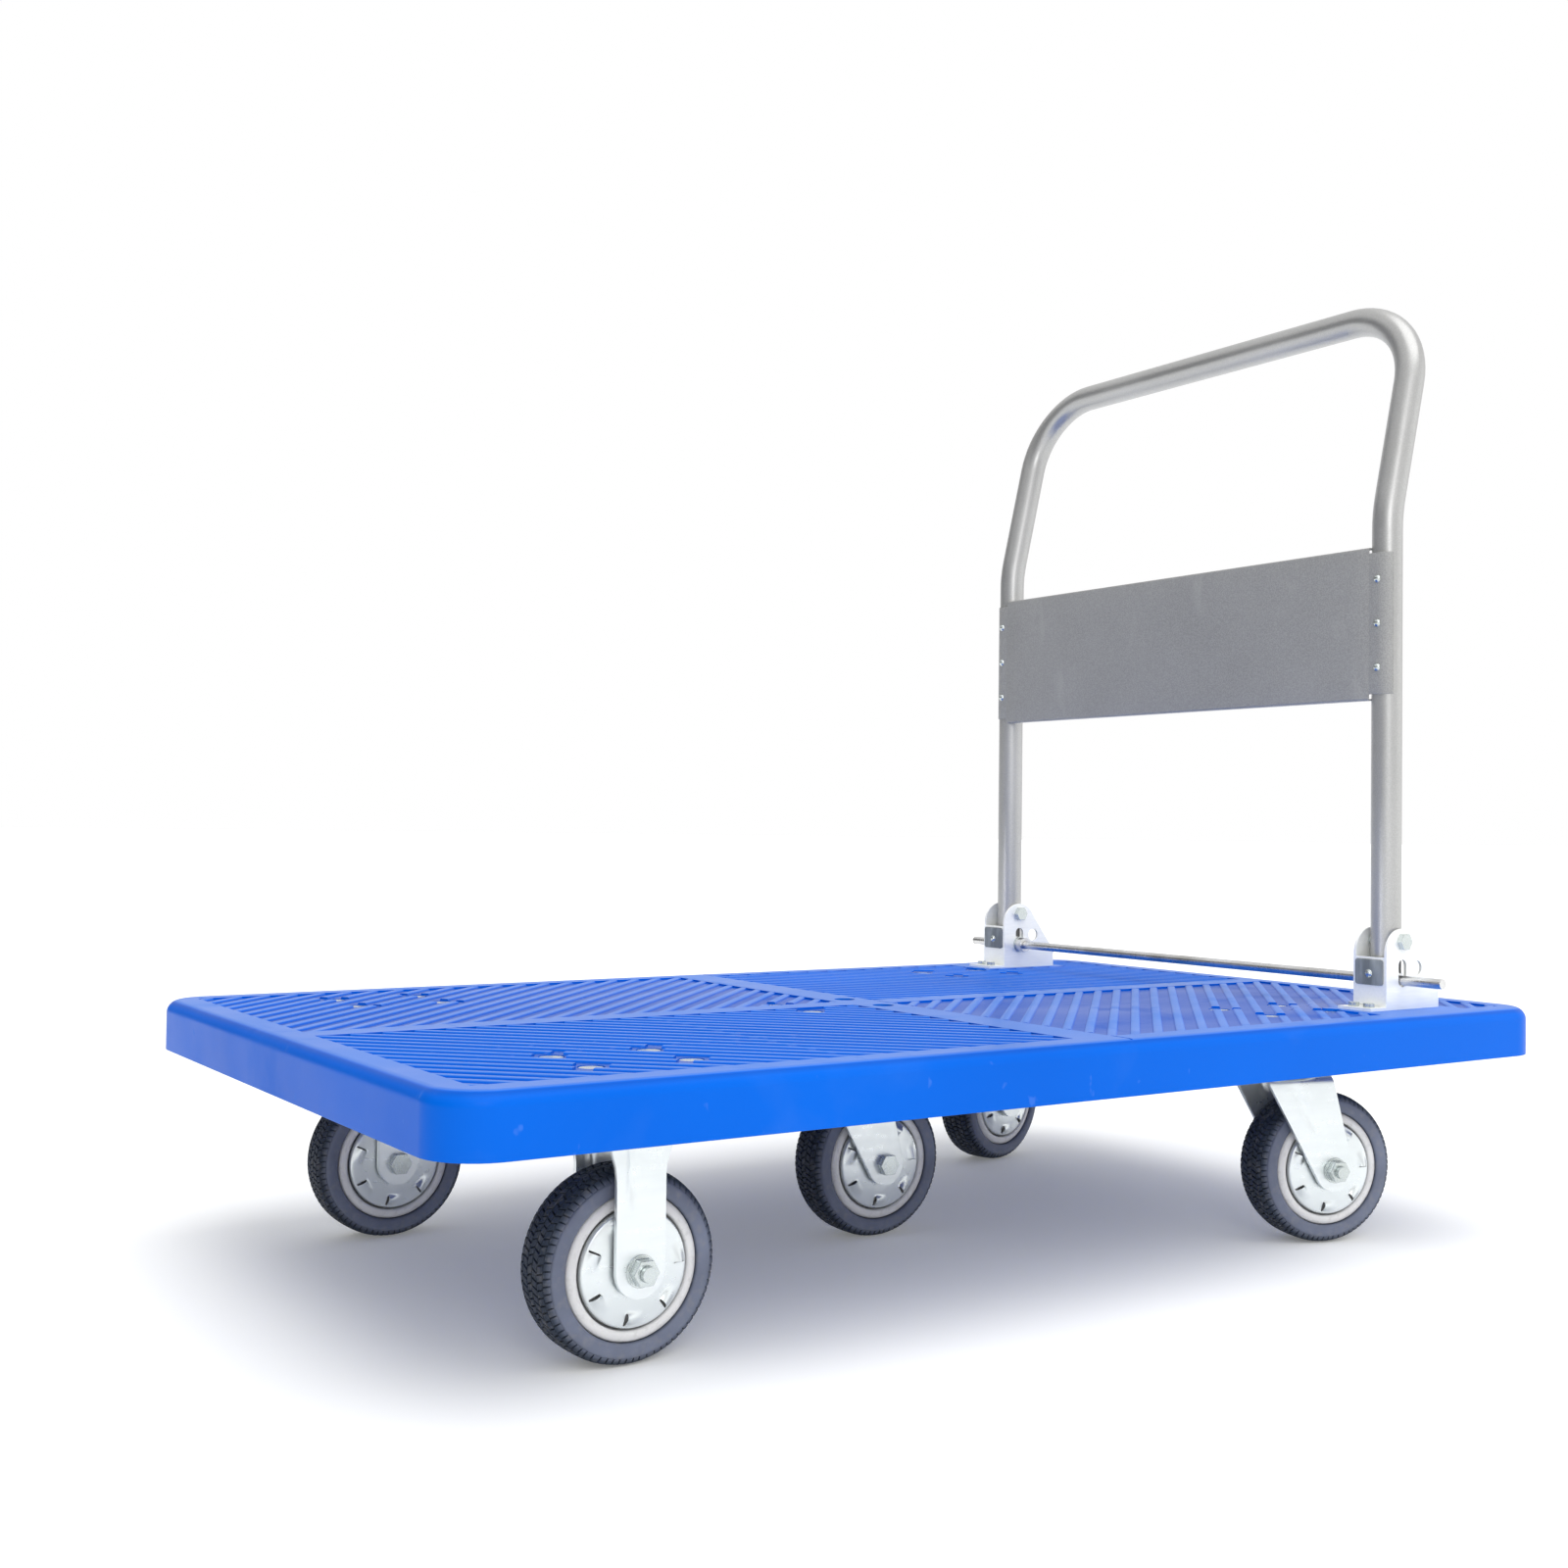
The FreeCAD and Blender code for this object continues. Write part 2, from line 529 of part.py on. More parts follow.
def wheel_centre(name):
    """Formulas for a wheel's centre and the angle it is turned to."""
    place, track = CASTER_PLACES[name]
    if name.startswith("fixed"):
        return place, track, 0.0
    angle = SWIVELS[name.split("_")[1]]
    return f"{place} + trail * cos({angle})", f"{track} + trail * sin({angle})", angle


def make_casters():
    """Two fixed and three swivel casters with their wheels."""
    fixed_fork = fixed_fork_master()
    swivel_plate = swivel_plate_master()
    swivel_fork = swivel_fork_master()
    dust_ring = turned("dust_ring", "XZ_Plane", [
        ("dust_rad", "crown_top"), ("crown_rad", "crown_top"), ("crown_rad", "crown_top + race_gap"),
        ("dust_rad + dust_wall", "crown_top + dust_high"), ("dust_rad", "crown_top + dust_high")])
    bolt, nut, sleeve = axle_masters()
    tyre, rim, cover, bearing = wheel_masters()
    caster_bolts()
    swivel_heads()

    fixed_bolts = []
    fixed_nuts = []
    fixed_sleeves = []
    for name, (place, track) in CASTER_PLACES.items():
        x, y, angle = wheel_centre(name)
        spot = {"turn": angle, "x": x, "y": y, "z": "wheel_rad"}
        # the nut is on the side away from the truck's middle
        bolt_turn = dict(spot, flip=name.endswith("left"))
        if name.startswith("fixed"):
            node(copy(fixed_fork, name + "_fork", x=place, y=track), name + "_fork")
            fixed_bolts.append(copy(bolt, name + "_axle", **bolt_turn))
            fixed_nuts.append(copy(nut, name + "_nut", **bolt_turn))
            fixed_sleeves.append(copy(sleeve, name + "_sleeve", **spot))
        else:
            node(copy(swivel_plate, name + "_plate", x=place, y=track), name + "_plate")
            node(copy(swivel_fork, name + "_fork", turn=angle, x=place, y=track), name + "_fork")
            node(copy(dust_ring, name + "_dust_ring", x=place, y=track), name + "_dust_ring")
            node(copy(bolt, name + "_axle_bolt", **bolt_turn), name + "_axle_bolt")
            node(copy(nut, name + "_axle_nut", **bolt_turn), name + "_axle_nut")
            node(copy(sleeve, name + "_hub_sleeve", **spot), name + "_hub_sleeve")
        node(copy(tyre, name + "_tyre", **spot), name + "_tyre")
        node(copy(rim, name + "_rim", **spot), name + "_rim")
        group(name + "_covers", [copy(cover, name + "_cover_a", **spot),
                                 copy(cover, name + "_cover_b", flip=True, **spot)])
        group(name + "_bearings", [copy(bearing, name + "_bearing_a", **spot),
                                   copy(bearing, name + "_bearing_b", flip=True, **spot)])
    group("fixed_axle_bolts", fixed_bolts)
    group("fixed_axle_nuts", fixed_nuts)
    group("fixed_hub_sleeves", fixed_sleeves)


# ---------------------------------------------------------------- handle

def bend(corner, before, after, radius):
    """Arc that rounds a corner between two unit directions; gives its start, edge and end."""
    turn = before.getAngle(after)
    reach = radius * math.tan(turn / 2)
    start = corner - before * reach
    end = corner + after * reach
    inward = (after - before).normalize()
    middle = corner + inward * radius * (1 / math.cos(turn / 2) - 1)
    return start, Part.Arc(start, middle, end).toShape(), end


def tube_path():
    """Centre line of the handle: two legs that lean outwards at the top, joined by a bar."""
    lean = math.radians(size("lean_angle"))
    upright = FreeCAD.Vector(0, 0, 1)
    slope = FreeCAD.Vector(math.sin(lean), 0, math.cos(lean))
    across = FreeCAD.Vector(0, 1, 0)
    place = size("leg_place")
    side = size("leg_track")
    top_place = place + (size("top_high") - size("lean_high")) * math.tan(lean)

    def corners(track):
        """Foot, knee and top corner of one leg."""
        return (FreeCAD.Vector(place, track, size("pivot_high") - size("foot_reach") - 1),
                FreeCAD.Vector(place, track, size("lean_high")),
                FreeCAD.Vector(top_place, track, size("top_high")))

    left_foot, left_knee, left_top = corners(-side)
    right_foot, right_knee, right_top = corners(side)
    turns = [bend(left_knee, upright, slope, size("lean_bend")),
             bend(left_top, slope, across, size("corner_bend")),
             bend(right_top, across, -slope, size("corner_bend")),
             bend(right_knee, -slope, -upright, size("lean_bend"))]
    edges = []
    reached = left_foot
    for start, arc, end in turns:
        edges += [Part.LineSegment(reached, start).toShape(), arc]
        reached = end
    edges.append(Part.LineSegment(reached, right_foot).toShape())
    return Part.Wire(edges)


def make_handle():
    """Bent tube with round feet, notches for the locking rod, and the sheet panel."""
    path = doc.addObject("Part::Feature", "tube_path")
    path.Shape = tube_path()
    pipes = []
    for name, radius in (("tube_outside", "tube_rad"), ("tube_inside", "tube_rad - tube_wall")):
        ring = doc.addObject("Part::Circle", name + "_ring")
        bind(ring, Radius=radius, x="leg_place", y="-leg_track", z="pivot_high - foot_reach - 1")
        sweep = doc.addObject("Part::Sweep", name)
        sweep.Sections = [ring]
        sweep.Spine = (path, [f"Edge{i}" for i in range(1, len(path.Shape.Edges) + 1)])
        sweep.Solid = True
        sweep.Frenet = False
        pipes.append(sweep)
    tools = [pipes[1]]
    for side in ("-", ""):
        track = f"{side}leg_track"
        # the foot ends on an arc about the pivot, so that it passes over the locking rod
        keep = rod("foot_round", "foot_reach", "4 * tube_rad", "leg_place", f"{track} - 2 * tube_rad",
                   "pivot_high", "y")
        slab = box("foot_slab", "leg_place - 2 * tube_rad", f"{track} - 1.8 * tube_rad",
                   "pivot_high - 2 * foot_reach", "4 * tube_rad", "3.6 * tube_rad", "1.6 * foot_reach")
        tools.append(cut("foot_trim", slab, [keep]))
        tools.append(rod("pivot_hole", "pivot_rad + running_gap", "4 * tube_rad", "leg_place",
                         f"{track} - 2 * tube_rad", "pivot_high", "y"))
        tools.append(box("foot_notch", "leg_place - rod_rad - notch_play", f"{track} - 2 * tube_rad",
                         "pivot_high - foot_reach - rod_rad", "2 * (rod_rad + notch_play)",
                         "4 * tube_rad", "rod_rad + notch_deep"))
    node(cut("handle_tube", pipes[0], tools), "handle_tube")

    # panel on the deck side of the tubes, with folded top and bottom edges and lower end tabs
    front = "leg_place - tube_rad - sheet_thick"
    face = box("panel_face", front, "-panel_half", "panel_low", "sheet_thick", "2 * panel_half",
               "panel_high - panel_low")
    tabs = box("panel_tabs", front, "-panel_tab", "panel_low + tab_inset", "sheet_thick",
               "2 * panel_tab", "panel_high - panel_low - 2 * tab_inset")
    hems = [box("panel_hem", front, "-panel_half + hem_inset", level, "hem_deep",
                "2 * (panel_half - hem_inset)", "sheet_thick")
            for level in ("panel_low", "panel_high - sheet_thick")]
    node(fuse("handle_panel", [face, tabs] + hems), "handle_panel")

    head = doc.addObject("Part::Sphere", "rivet_dome")
    bind(head, Radius="rivet_rad", x=f"{front} + rivet_set")
    trim = box("rivet_trim", front, "-2 * rivet_rad", "-2 * rivet_rad", "4 * rivet_rad", "4 * rivet_rad",
               "4 * rivet_rad")
    rivet = cut("rivet_master", head, [trim])
    rivets = []
    for side in ("-", ""):
        for step in (-1, 0, 1):
            rivets.append(copy(rivet, "panel_rivet", y=f"{side}leg_track",
                               z=f"(panel_low + panel_high) / 2 + {step} * rivet_pitch"))
    group("panel_rivets", rivets)


# ---------------------------------------------------------------- brackets and locking rod

SCREW_PLACES = ("toe_front + screw_front", "bracket_back - screw_back")


def bracket_master():
    """Folded bracket about its own middle: base with a toe, web, and two slotted ears."""
    wide = "2 * bracket_half"
    base = box("bracket_base", "toe_front", "-bracket_half", "deck_top", "bracket_back - toe_front",
               wide, "bracket_thick")
    web = box("bracket_web", "bracket_front", "-bracket_half", "deck_top", "bracket_thick", wide,
              "web_high - deck_top")
    ears = body("bracket_ears")
    profile = sketch(ears, "XZ_Plane", "ear_outline", [[
        ("bracket_front", "deck_top"), ("bracket_back", "deck_top"), ("bracket_back", "heel_high"),
        ("leg_place + ear_round * 4 / 5", "ear_centre + ear_slope"),
        ("leg_place - ear_round", "ear_centre + ear_slope"), ("bracket_front", "ear_centre")]])
    pad(ears, profile, "ear_block", "2 * bracket_half", midplane=True)
    dome = rod("ear_dome", "ear_round", wide, "leg_place", "-bracket_half", "ear_centre", "y")
    shoulder = box("ear_shoulder", "leg_place - through / 2", "-through / 2", "ear_centre",
                   "through / 2", "through", "through / 2")
    trim = cut("ear_shoulder_trim", shoulder, [rod("ear_keep", "ear_round", "2 * through", "leg_place",
                                                   "-through", "ear_centre", "y")])
    blank = cut("bracket_blank", fuse("bracket_solid", [ears, dome]), [trim])
    inner = "(bracket_half - bracket_thick)"
    gap = box("bracket_gap", "bracket_front - 1", f"-{inner}", "deck_top - 1", "through",
              f"2 * {inner}", "through")
    walls = cut("bracket_walls", blank, [gap])
    bracket = fuse("bracket_folded", [walls, base, web])
    slot = box("slot_box", "leg_place - slot_half", "-through / 2", "slot_low + slot_half",
               "2 * slot_half", "through", "slot_high - slot_low - 2 * slot_half")
    tools = [slot]
    for label, radius, place, level in (
            ("slot_floor", "slot_half", "leg_place", "slot_low + slot_half"),
            ("slot_roof", "slot_half", "leg_place", "slot_high - slot_half"),
            ("ear_hole", "hole_rad", "hole_place", "hole_high"),
            ("ear_pivot_hole", "pivot_rad + pivot_play", "leg_place", "pivot_high")):
        tools.append(rod(label, radius, "through", place, "-through / 2", level, "y"))
    tools.append(rod("pad_hole", "stop_stem_rad + axle_play", "4 * bracket_thick",
                     "bracket_front - bracket_thick", "0", "web_high - stop_stem_drop", "x"))
    for place in SCREW_PLACES:
        for track in ("-screw_half_pitch", "screw_half_pitch"):
            tools.append(rod("base_hole", "screw_rad + screw_play", "screw_long", place, track,
                             "deck_top - screw_long / 2"))
    return cut("bracket", bracket, tools)


def make_brackets():
    """Two brackets with their bolts, pivot bolts, nuts and stop pads."""
    bracket = bracket_master()
    head = hexagon("bracket_bolt_head", "screw_head_rad", "screw_head_high",
                   z="deck_top + bracket_thick")
    shank = rod("bracket_bolt_shank", "screw_rad", "screw_long",
                z="deck_top + bracket_thick - screw_long + screw_head_high")
    deck_bolt = fuse("bracket_bolt", [head, shank])

    pin_start = "-bracket_half - pivot_head_high"
    pin_head = hexagon("pivot_head", "pivot_nut_rad", "pivot_head_high", "leg_place", pin_start,
                       "pivot_high", "y")
    pin_shank = rod("pivot_shank", "pivot_rad", "2 * bracket_half + pivot_end", "leg_place", pin_start,
                    "pivot_high", "y")
    pin = fuse("pivot_bolt", [pin_head, pin_shank])
    nut_blank = hexagon("pivot_nut_blank", "pivot_nut_rad", "pivot_nut_high", "leg_place",
                        "bracket_half", "pivot_high", "y")
    nut = cut("pivot_nut", nut_blank, [rod("pivot_nut_hole", "pivot_rad", "through", "leg_place", "0",
                                           "pivot_high", "y")])
    # the pad fills the space between the web and the tube's foot, and its rivet shows outside
    gap = "leg_place - tube_rad - bracket_front - bracket_thick"
    wide = "(bracket_half - bracket_thick - stop_play)"
    block = box("stop_block", "bracket_front + bracket_thick", f"-{wide}",
                "web_high - stop_drop - stop_high", f"{gap} - stop_gap", f"2 * {wide}", "stop_high")
    stem = rod("stop_stem", "stop_stem_rad", "stop_button_high + 2 * bracket_thick",
               "bracket_front - stop_button_high", "0", "web_high - stop_stem_drop", "x")
    button = rod("stop_button", "stop_button_rad", "stop_button_high", "bracket_front - stop_button_high",
                 "0", "web_high - stop_stem_drop", "x")
    pad_piece = fuse("stop_pad", [block, stem, button])

    bolts = []
    pins = []
    nuts = []
    pads = []
    for side, sign in (("left", "-"), ("right", "")):
        track = f"{sign}leg_track"
        node(copy(bracket, f"bracket_{side}", y=track), f"handle_bracket_{side}")
        pads.append(copy(pad_piece, "stop_pad_copy", y=track))
        # pivot bolts go in from the outside on the left and from the inside on the right
        pins.append(copy(pin, "pivot_bolt_copy", y=track))
        nuts.append(copy(nut, "pivot_nut_copy", y=track))
        for place in SCREW_PLACES:
            for shift in ("- screw_half_pitch", "+ screw_half_pitch"):
                bolts.append(copy(deck_bolt, "bracket_bolt_copy", x=place, y=f"{track} {shift}"))
    group("bracket_bolts", bolts)
    group("handle_pivot_bolts", pins)
    group("handle_pivot_nuts", nuts)
    group("stop_pads", pads)


def make_locking_rod():
    """Cross rod in the ears' slots, with a collar and a wave washer beside each inner ear."""
    bar = rod("rod_bar", "rod_rad", "2 * rod_half", "leg_place", "-rod_half", "rod_high", "y")
    node(bar, "locking_rod")
    inner = "(leg_track - bracket_half - rod_gap)"
    collars = []
    washers = []
    for sign in (-1, 1):
        start = f"-{inner} + washer_wide" if sign < 0 else f"{inner} - washer_wide - collar_wide"
        ring = rod("collar_ring", "collar_rad", "collar_wide", "leg_place", start, "rod_high", "y")
        bore = rod("collar_bore", "rod_rad", "2 * rod_half", "leg_place", "-rod_half", "rod_high", "y")
        collars.append(cut("collar", ring, [bore]))
        start = f"-{inner}" if sign < 0 else f"{inner} - washer_wide"
        disc = rod("washer_disc", "collar_rad + washer_lip", "washer_wide", "leg_place", start,
                   "rod_high", "y")
        hole = rod("washer_bore", "rod_rad", "2 * rod_half", "leg_place", "-rod_half", "rod_high", "y")
        washers.append(cut("wave_washer", disc, [hole]))
    group("rod_collars", collars)
    group("rod_washers", washers)


# ---------------------------------------------------------------- build, check and write

make_deck()
make_casters()
make_handle()
make_brackets()
make_locking_rod()
doc.recompute()

for thing in doc.Objects:
    if "Invalid" in thing.State or "Error" in thing.State:
        raise RuntimeError(f"{thing.Label} failed: {thing.State}")
for piece in nodes:
    if piece.Shape.isNull() or not piece.Shape.isValid() or not piece.Shape.Solids:
        raise RuntimeError(f"{piece.Label} has no valid solid")

os.makedirs("parts", exist_ok=True)
for piece in nodes:
    piece.Shape.exportStep(f"parts/{piece.Label}.step")
print(len(nodes), "nodes written")
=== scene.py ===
"""Looks of a five-wheel platform truck: moulded deck, casters, folding handle and locking rod.

Lengths in the mesh code are millimetres in the CAD frame (+Z up, handle at +X, left side at -Y);
`finished_mesh` turns them into metres. Wheel and fork pieces are made about their own axle or pivot.
"""

import json
import math

import bmesh
import bpy
from mathutils import Matrix, Vector

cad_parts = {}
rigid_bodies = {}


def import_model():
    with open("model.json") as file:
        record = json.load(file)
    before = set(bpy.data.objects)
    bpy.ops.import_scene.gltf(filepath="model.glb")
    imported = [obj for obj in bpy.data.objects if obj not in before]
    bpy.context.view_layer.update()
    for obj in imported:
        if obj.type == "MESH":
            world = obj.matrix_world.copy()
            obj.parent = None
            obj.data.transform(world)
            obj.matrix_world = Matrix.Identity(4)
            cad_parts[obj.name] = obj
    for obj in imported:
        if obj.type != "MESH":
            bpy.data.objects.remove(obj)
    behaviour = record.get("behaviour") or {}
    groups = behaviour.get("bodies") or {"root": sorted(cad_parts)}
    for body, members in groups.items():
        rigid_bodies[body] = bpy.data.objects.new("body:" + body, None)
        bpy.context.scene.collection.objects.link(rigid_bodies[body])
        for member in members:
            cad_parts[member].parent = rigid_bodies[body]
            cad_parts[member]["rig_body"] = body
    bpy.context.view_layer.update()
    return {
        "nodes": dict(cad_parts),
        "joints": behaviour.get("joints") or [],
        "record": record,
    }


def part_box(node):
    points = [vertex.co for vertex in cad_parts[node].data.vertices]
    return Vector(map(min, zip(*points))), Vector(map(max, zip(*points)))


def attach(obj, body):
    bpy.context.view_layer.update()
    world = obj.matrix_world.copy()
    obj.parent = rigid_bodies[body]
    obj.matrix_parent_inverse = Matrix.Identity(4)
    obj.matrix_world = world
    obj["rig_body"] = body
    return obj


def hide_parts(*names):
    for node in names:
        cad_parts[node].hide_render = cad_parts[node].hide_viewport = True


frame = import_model()

MM = 0.001
NODES = frame["nodes"]
JOINTS = {joint["name"]: joint for joint in frame["joints"]}
FIXED = ("fixed_left", "fixed_right")
SWIVEL = ("swivel_left", "swivel_right", "swivel_centre")


def box_mm(node):
    """Lowest and highest corners of a CAD node in millimetres."""
    low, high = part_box(node)
    return low / MM, high / MM


def caster_place(name):
    """Where a caster's plate has its middle, in millimetres, on the floor."""
    low, high = box_mm(name + ("_fork" if name in FIXED else "_plate"))
    return Vector(((low.x + high.x) / 2, (low.y + high.y) / 2, 0))


FIELD_DEPTH = 2.0   # the ribbed fields lie this far under the deck's top, in millimetres
RIB_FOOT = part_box("deck_platform")[1].z - FIELD_DEPTH * MM   # the fields' floor, in metres

# ------------------------------------------------------------------ materials

def srgb(red, green, blue):
    """A screen colour, 0 to 255, as the linear colour a shader takes."""
    def linear(value):
        value /= 255
        return value / 12.92 if value <= 0.04045 else ((value + 0.055) / 1.055) ** 2.4
    return (linear(red), linear(green), linear(blue), 1.0)


def feed(tree, value, socket):
    """Link a node's output to a socket, or set the socket to a plain value."""
    if isinstance(value, bpy.types.NodeSocket):
        tree.links.new(value, socket)
    else:
        socket.default_value = value


class Look:
    """A Principled material with calls that add grain, wear and colour changes to it."""

    def __init__(self, name, colour, roughness, metallic=0.0, coat=0.0, coat_roughness=0.1,
                 specular=0.5):
        self.material = bpy.data.materials.new(name)
        self.material.use_nodes = True
        self.tree = self.material.node_tree
        self.shader = self.tree.nodes["Principled BSDF"]
        self.shader.inputs["Base Color"].default_value = colour
        self.shader.inputs["Roughness"].default_value = roughness
        self.shader.inputs["Metallic"].default_value = metallic
        self.shader.inputs["Coat Weight"].default_value = coat
        self.shader.inputs["Coat Roughness"].default_value = coat_roughness
        self.shader.inputs["Specular IOR Level"].default_value = specular
        self.place = self.tree.nodes.new("ShaderNodeTexCoord").outputs["Object"]
        self.normal = None

    def node(self, kind, **inputs):
        """A new node with its inputs set or linked."""
        made = self.tree.nodes.new(kind)
        for name, value in inputs.items():
            feed(self.tree, value, made.inputs[name.replace("_", " ")])
        return made

    def noise(self, scale, detail=3.0, stretch=(1, 1, 1), turn=0.0, distortion=0.0):
        """Noise from 0 to 1; a stretch below 1 draws it out along that axis."""
        mapping = self.node("ShaderNodeMapping", Vector=self.place, Scale=stretch,
                            Rotation=(0, 0, math.radians(turn)))
        made = self.node("ShaderNodeTexNoise", Vector=mapping.outputs["Vector"], Scale=scale,
                         Detail=detail, Distortion=distortion)
        return made.outputs["Fac"]

    def cells(self, scale):
        """A random value from 0 to 1 in each crystal-like cell."""
        made = self.node("ShaderNodeTexVoronoi", Vector=self.place, Scale=scale)
        split = self.node("ShaderNodeSeparateColor", Color=made.outputs["Color"])
        return split.outputs[0]

    def window(self, value, low, high, start=0.0, end=1.0):
        """The value's range from low to high mapped to start and end, and held outside it."""
        made = self.node("ShaderNodeMapRange", Value=value, From_Min=low, From_Max=high,
                         To_Min=start, To_Max=end)
        return made.outputs["Result"]

    def mix(self, factor, first, second):
        """A colour between two, by a factor."""
        made = self.tree.nodes.new("ShaderNodeMix")
        made.data_type = "RGBA"
        for index, value in ((0, factor), (6, first), (7, second)):
            feed(self.tree, value, made.inputs[index])
        return made.outputs[2]

    def add(self, first, second):
        """The sum of two values, held from 0 to 1."""
        return self.maths("ADD", first, second)

    def times(self, first, second):
        """The product of two values, held from 0 to 1."""
        return self.maths("MULTIPLY", first, second)

    def maths(self, kind, first, second):
        """Two values joined by an operation and held from 0 to 1."""
        made = self.tree.nodes.new("ShaderNodeMath")
        made.operation = kind
        made.use_clamp = True
        for socket, value in zip(made.inputs, (first, second)):
            feed(self.tree, value, socket)
        return made.outputs[0]

    def paint(self, colour):
        """Link the surface colour."""
        self.tree.links.new(colour, self.shader.inputs["Base Color"])

    def rough(self, value):
        """Link the roughness."""
        self.tree.links.new(value, self.shader.inputs["Roughness"])

    def bump(self, height, distance, strength=1.0):
        """Add a height, in millimetres, on top of the bumps so far."""
        inputs = {"Height": height, "Distance": distance * MM, "Strength": strength}
        if self.normal is not None:
            inputs["Normal"] = self.normal
        made = self.node("ShaderNodeBump", **inputs)
        self.normal = made.outputs["Normal"]
        self.tree.links.new(self.normal, self.shader.inputs["Normal"])


def deck_look():
    """Blue moulded plastic: a painted pale sheen with a little rub wear on top, painted shade in the
    grooves, with scuffs and scratches.
    """
    look = Look("blue_plastic", srgb(0, 94, 206), 0.34, specular=0.07)
    broad = look.noise(2.6, 2.0)
    flow = look.noise(14, 4.0, (0.35, 1, 1))
    scratch_a = look.window(look.noise(60, 2.0, (0.03, 1.6, 1), 24), 0.70, 0.76)
    scratch_b = look.window(look.noise(50, 2.0, (1.5, 0.03, 1), -18), 0.715, 0.77)
    scratches = look.add(scratch_a, scratch_b)
    scuffs = look.window(look.noise(9, 6.0, distortion=0.6), 0.56, 0.74)
    base = look.mix(look.window(broad, 0.3, 0.7), srgb(0, 90, 200), srgb(0, 98, 212))
    worn = look.mix(look.window(scuffs, 0, 1, 0, 0.06), base, srgb(110, 150, 215))
    marked = look.mix(look.window(scratches, 0, 1, 0, 0.14), worn, srgb(130, 165, 225))
    facing = look.node("ShaderNodeSeparateXYZ",
                       Vector=look.tree.nodes.new("ShaderNodeNewGeometry").outputs["Normal"]).outputs["Z"]
    height = look.node("ShaderNodeSeparateXYZ", Vector=look.place).outputs["Z"]
    upward = look.window(facing, 0.6, 0.95)
    # painted sheen: rib tops and bands that face up are painted pale, with a little rub wear in it, and the
    # fields' floor between the ribs gets painted shade
    deep, middle, crest = RIB_FOOT + 0.0002, RIB_FOOT + 0.0008, RIB_FOOT + 0.0014
    proud = look.times(upward, look.window(height, middle, crest))
    # painted sheen on the faces that are proud and face up, with a little rub wear
    rub = look.times(proud, look.window(flow, 0.2, 0.8, 0.09, 0.15))
    rubbed = look.mix(rub, marked, srgb(165, 212, 240))
    # painted shade: the fields' floor between the ribs is darkened
    groove = look.times(upward, look.window(height, middle, deep))
    painted_groove_shade = look.mix(look.window(groove, 0, 1, 0, 0.5), rubbed, srgb(0, 58, 150))
    # faces that look down are painted a darker grey: painted shade under the deck, which also takes the
    # blue out of the light they throw on the floor
    dust = look.window(facing, -0.2, -0.8, 0.0, 0.62)
    look.paint(look.mix(dust, painted_groove_shade, srgb(92, 96, 100)))
    rough = look.add(look.window(flow, 0.25, 0.75, 0.26, 0.38), look.window(scuffs, 0, 1, 0, 0.16))
    look.rough(look.add(rough, look.window(scratches, 0, 1, 0, 0.2)))
    look.bump(look.noise(26, 2.0), 0.5, 0.25)
    look.bump(look.noise(1100, 2.0), 0.06, 0.5)
    look.bump(scratches, 0.05, 0.4)
    return look.material


def zinc_look(name, bright, dull, streak, roughness=(0.24, 0.34), metallic=0.8):
    """Zinc plate over pressed steel: a faint crystal pattern, rolling streaks and handling marks."""
    look = Look(name, bright, 0.25, metallic=metallic)
    stain = look.window(look.noise(11, 3.0, distortion=0.3), 0.40, 0.75, 0.0, 0.6)
    spangle = look.window(look.cells(220), 0, 1, 0.0, 0.05)
    lines = look.noise(420, 3.0, streak)
    marks = look.window(look.noise(85, 3.0, (0.06, 1.2, 1), 35), 0.68, 0.76)
    tone = look.mix(stain, bright, dull)
    look.paint(look.mix(look.window(lines, 0.3, 0.7, 0.0, 0.22), tone, srgb(216, 220, 222)))
    rough = look.add(look.window(lines, 0.25, 0.75, *roughness), spangle)
    look.rough(look.add(rough, look.window(marks, 0, 1, 0, 0.14)))
    look.bump(look.noise(24, 2.0), 0.2, 0.1)
    look.bump(lines, 0.01, 0.3)
    look.bump(marks, 0.02, 0.3)
    return look.material


def rod_look():
    """Drawn bright steel with fine rings of turning marks along its length."""
    look = Look("drawn_steel", srgb(190, 190, 190), 0.3, metallic=1.0)
    lines = look.noise(900, 2.0, (1, 0.02, 1))
    rings = look.noise(260, 2.0, (0.05, 1, 0.05))
    stain = look.window(look.noise(22, 3.0), 0.4, 0.7)
    look.paint(look.mix(stain, srgb(222, 222, 223), srgb(192, 191, 188)))
    look.rough(look.add(look.window(lines, 0.3, 0.7, 0.2, 0.38), look.window(rings, 0.4, 0.7, 0, 0.08)))
    look.bump(lines, 0.03, 0.5)
    return look.material


def powder_look(name, first, second, roughness, peel, metallic):
    """Powder coat: orange peel, a slight drift of tone, specks and thin rubbed patches."""
    look = Look(name, first, roughness[0], metallic=metallic, coat=0.08, coat_roughness=0.3)
    drift = look.window(look.noise(7, 3.0), 0.32, 0.7)
    rub = look.window(look.noise(28, 6.0, (1, 1, 0.35), distortion=0.5), 0.60, 0.74)
    specks = look.window(look.noise(900, 1.0), 0.42, 0.62)
    tone = look.mix(drift, first, second)
    grained = look.mix(look.window(specks, 0, 1, 0, 0.14), tone, srgb(232, 232, 230))
    look.paint(look.mix(look.window(rub, 0, 1, 0, 0.22), grained, srgb(188, 187, 184)))
    look.rough(look.add(look.window(drift, 0, 1, *roughness), look.window(rub, 0, 1, 0.0, -0.08)))
    look.bump(look.noise(peel, 2.0), 0.12, 0.4)
    look.bump(look.noise(1400, 1.0), 0.02, 0.5)
    return look.material


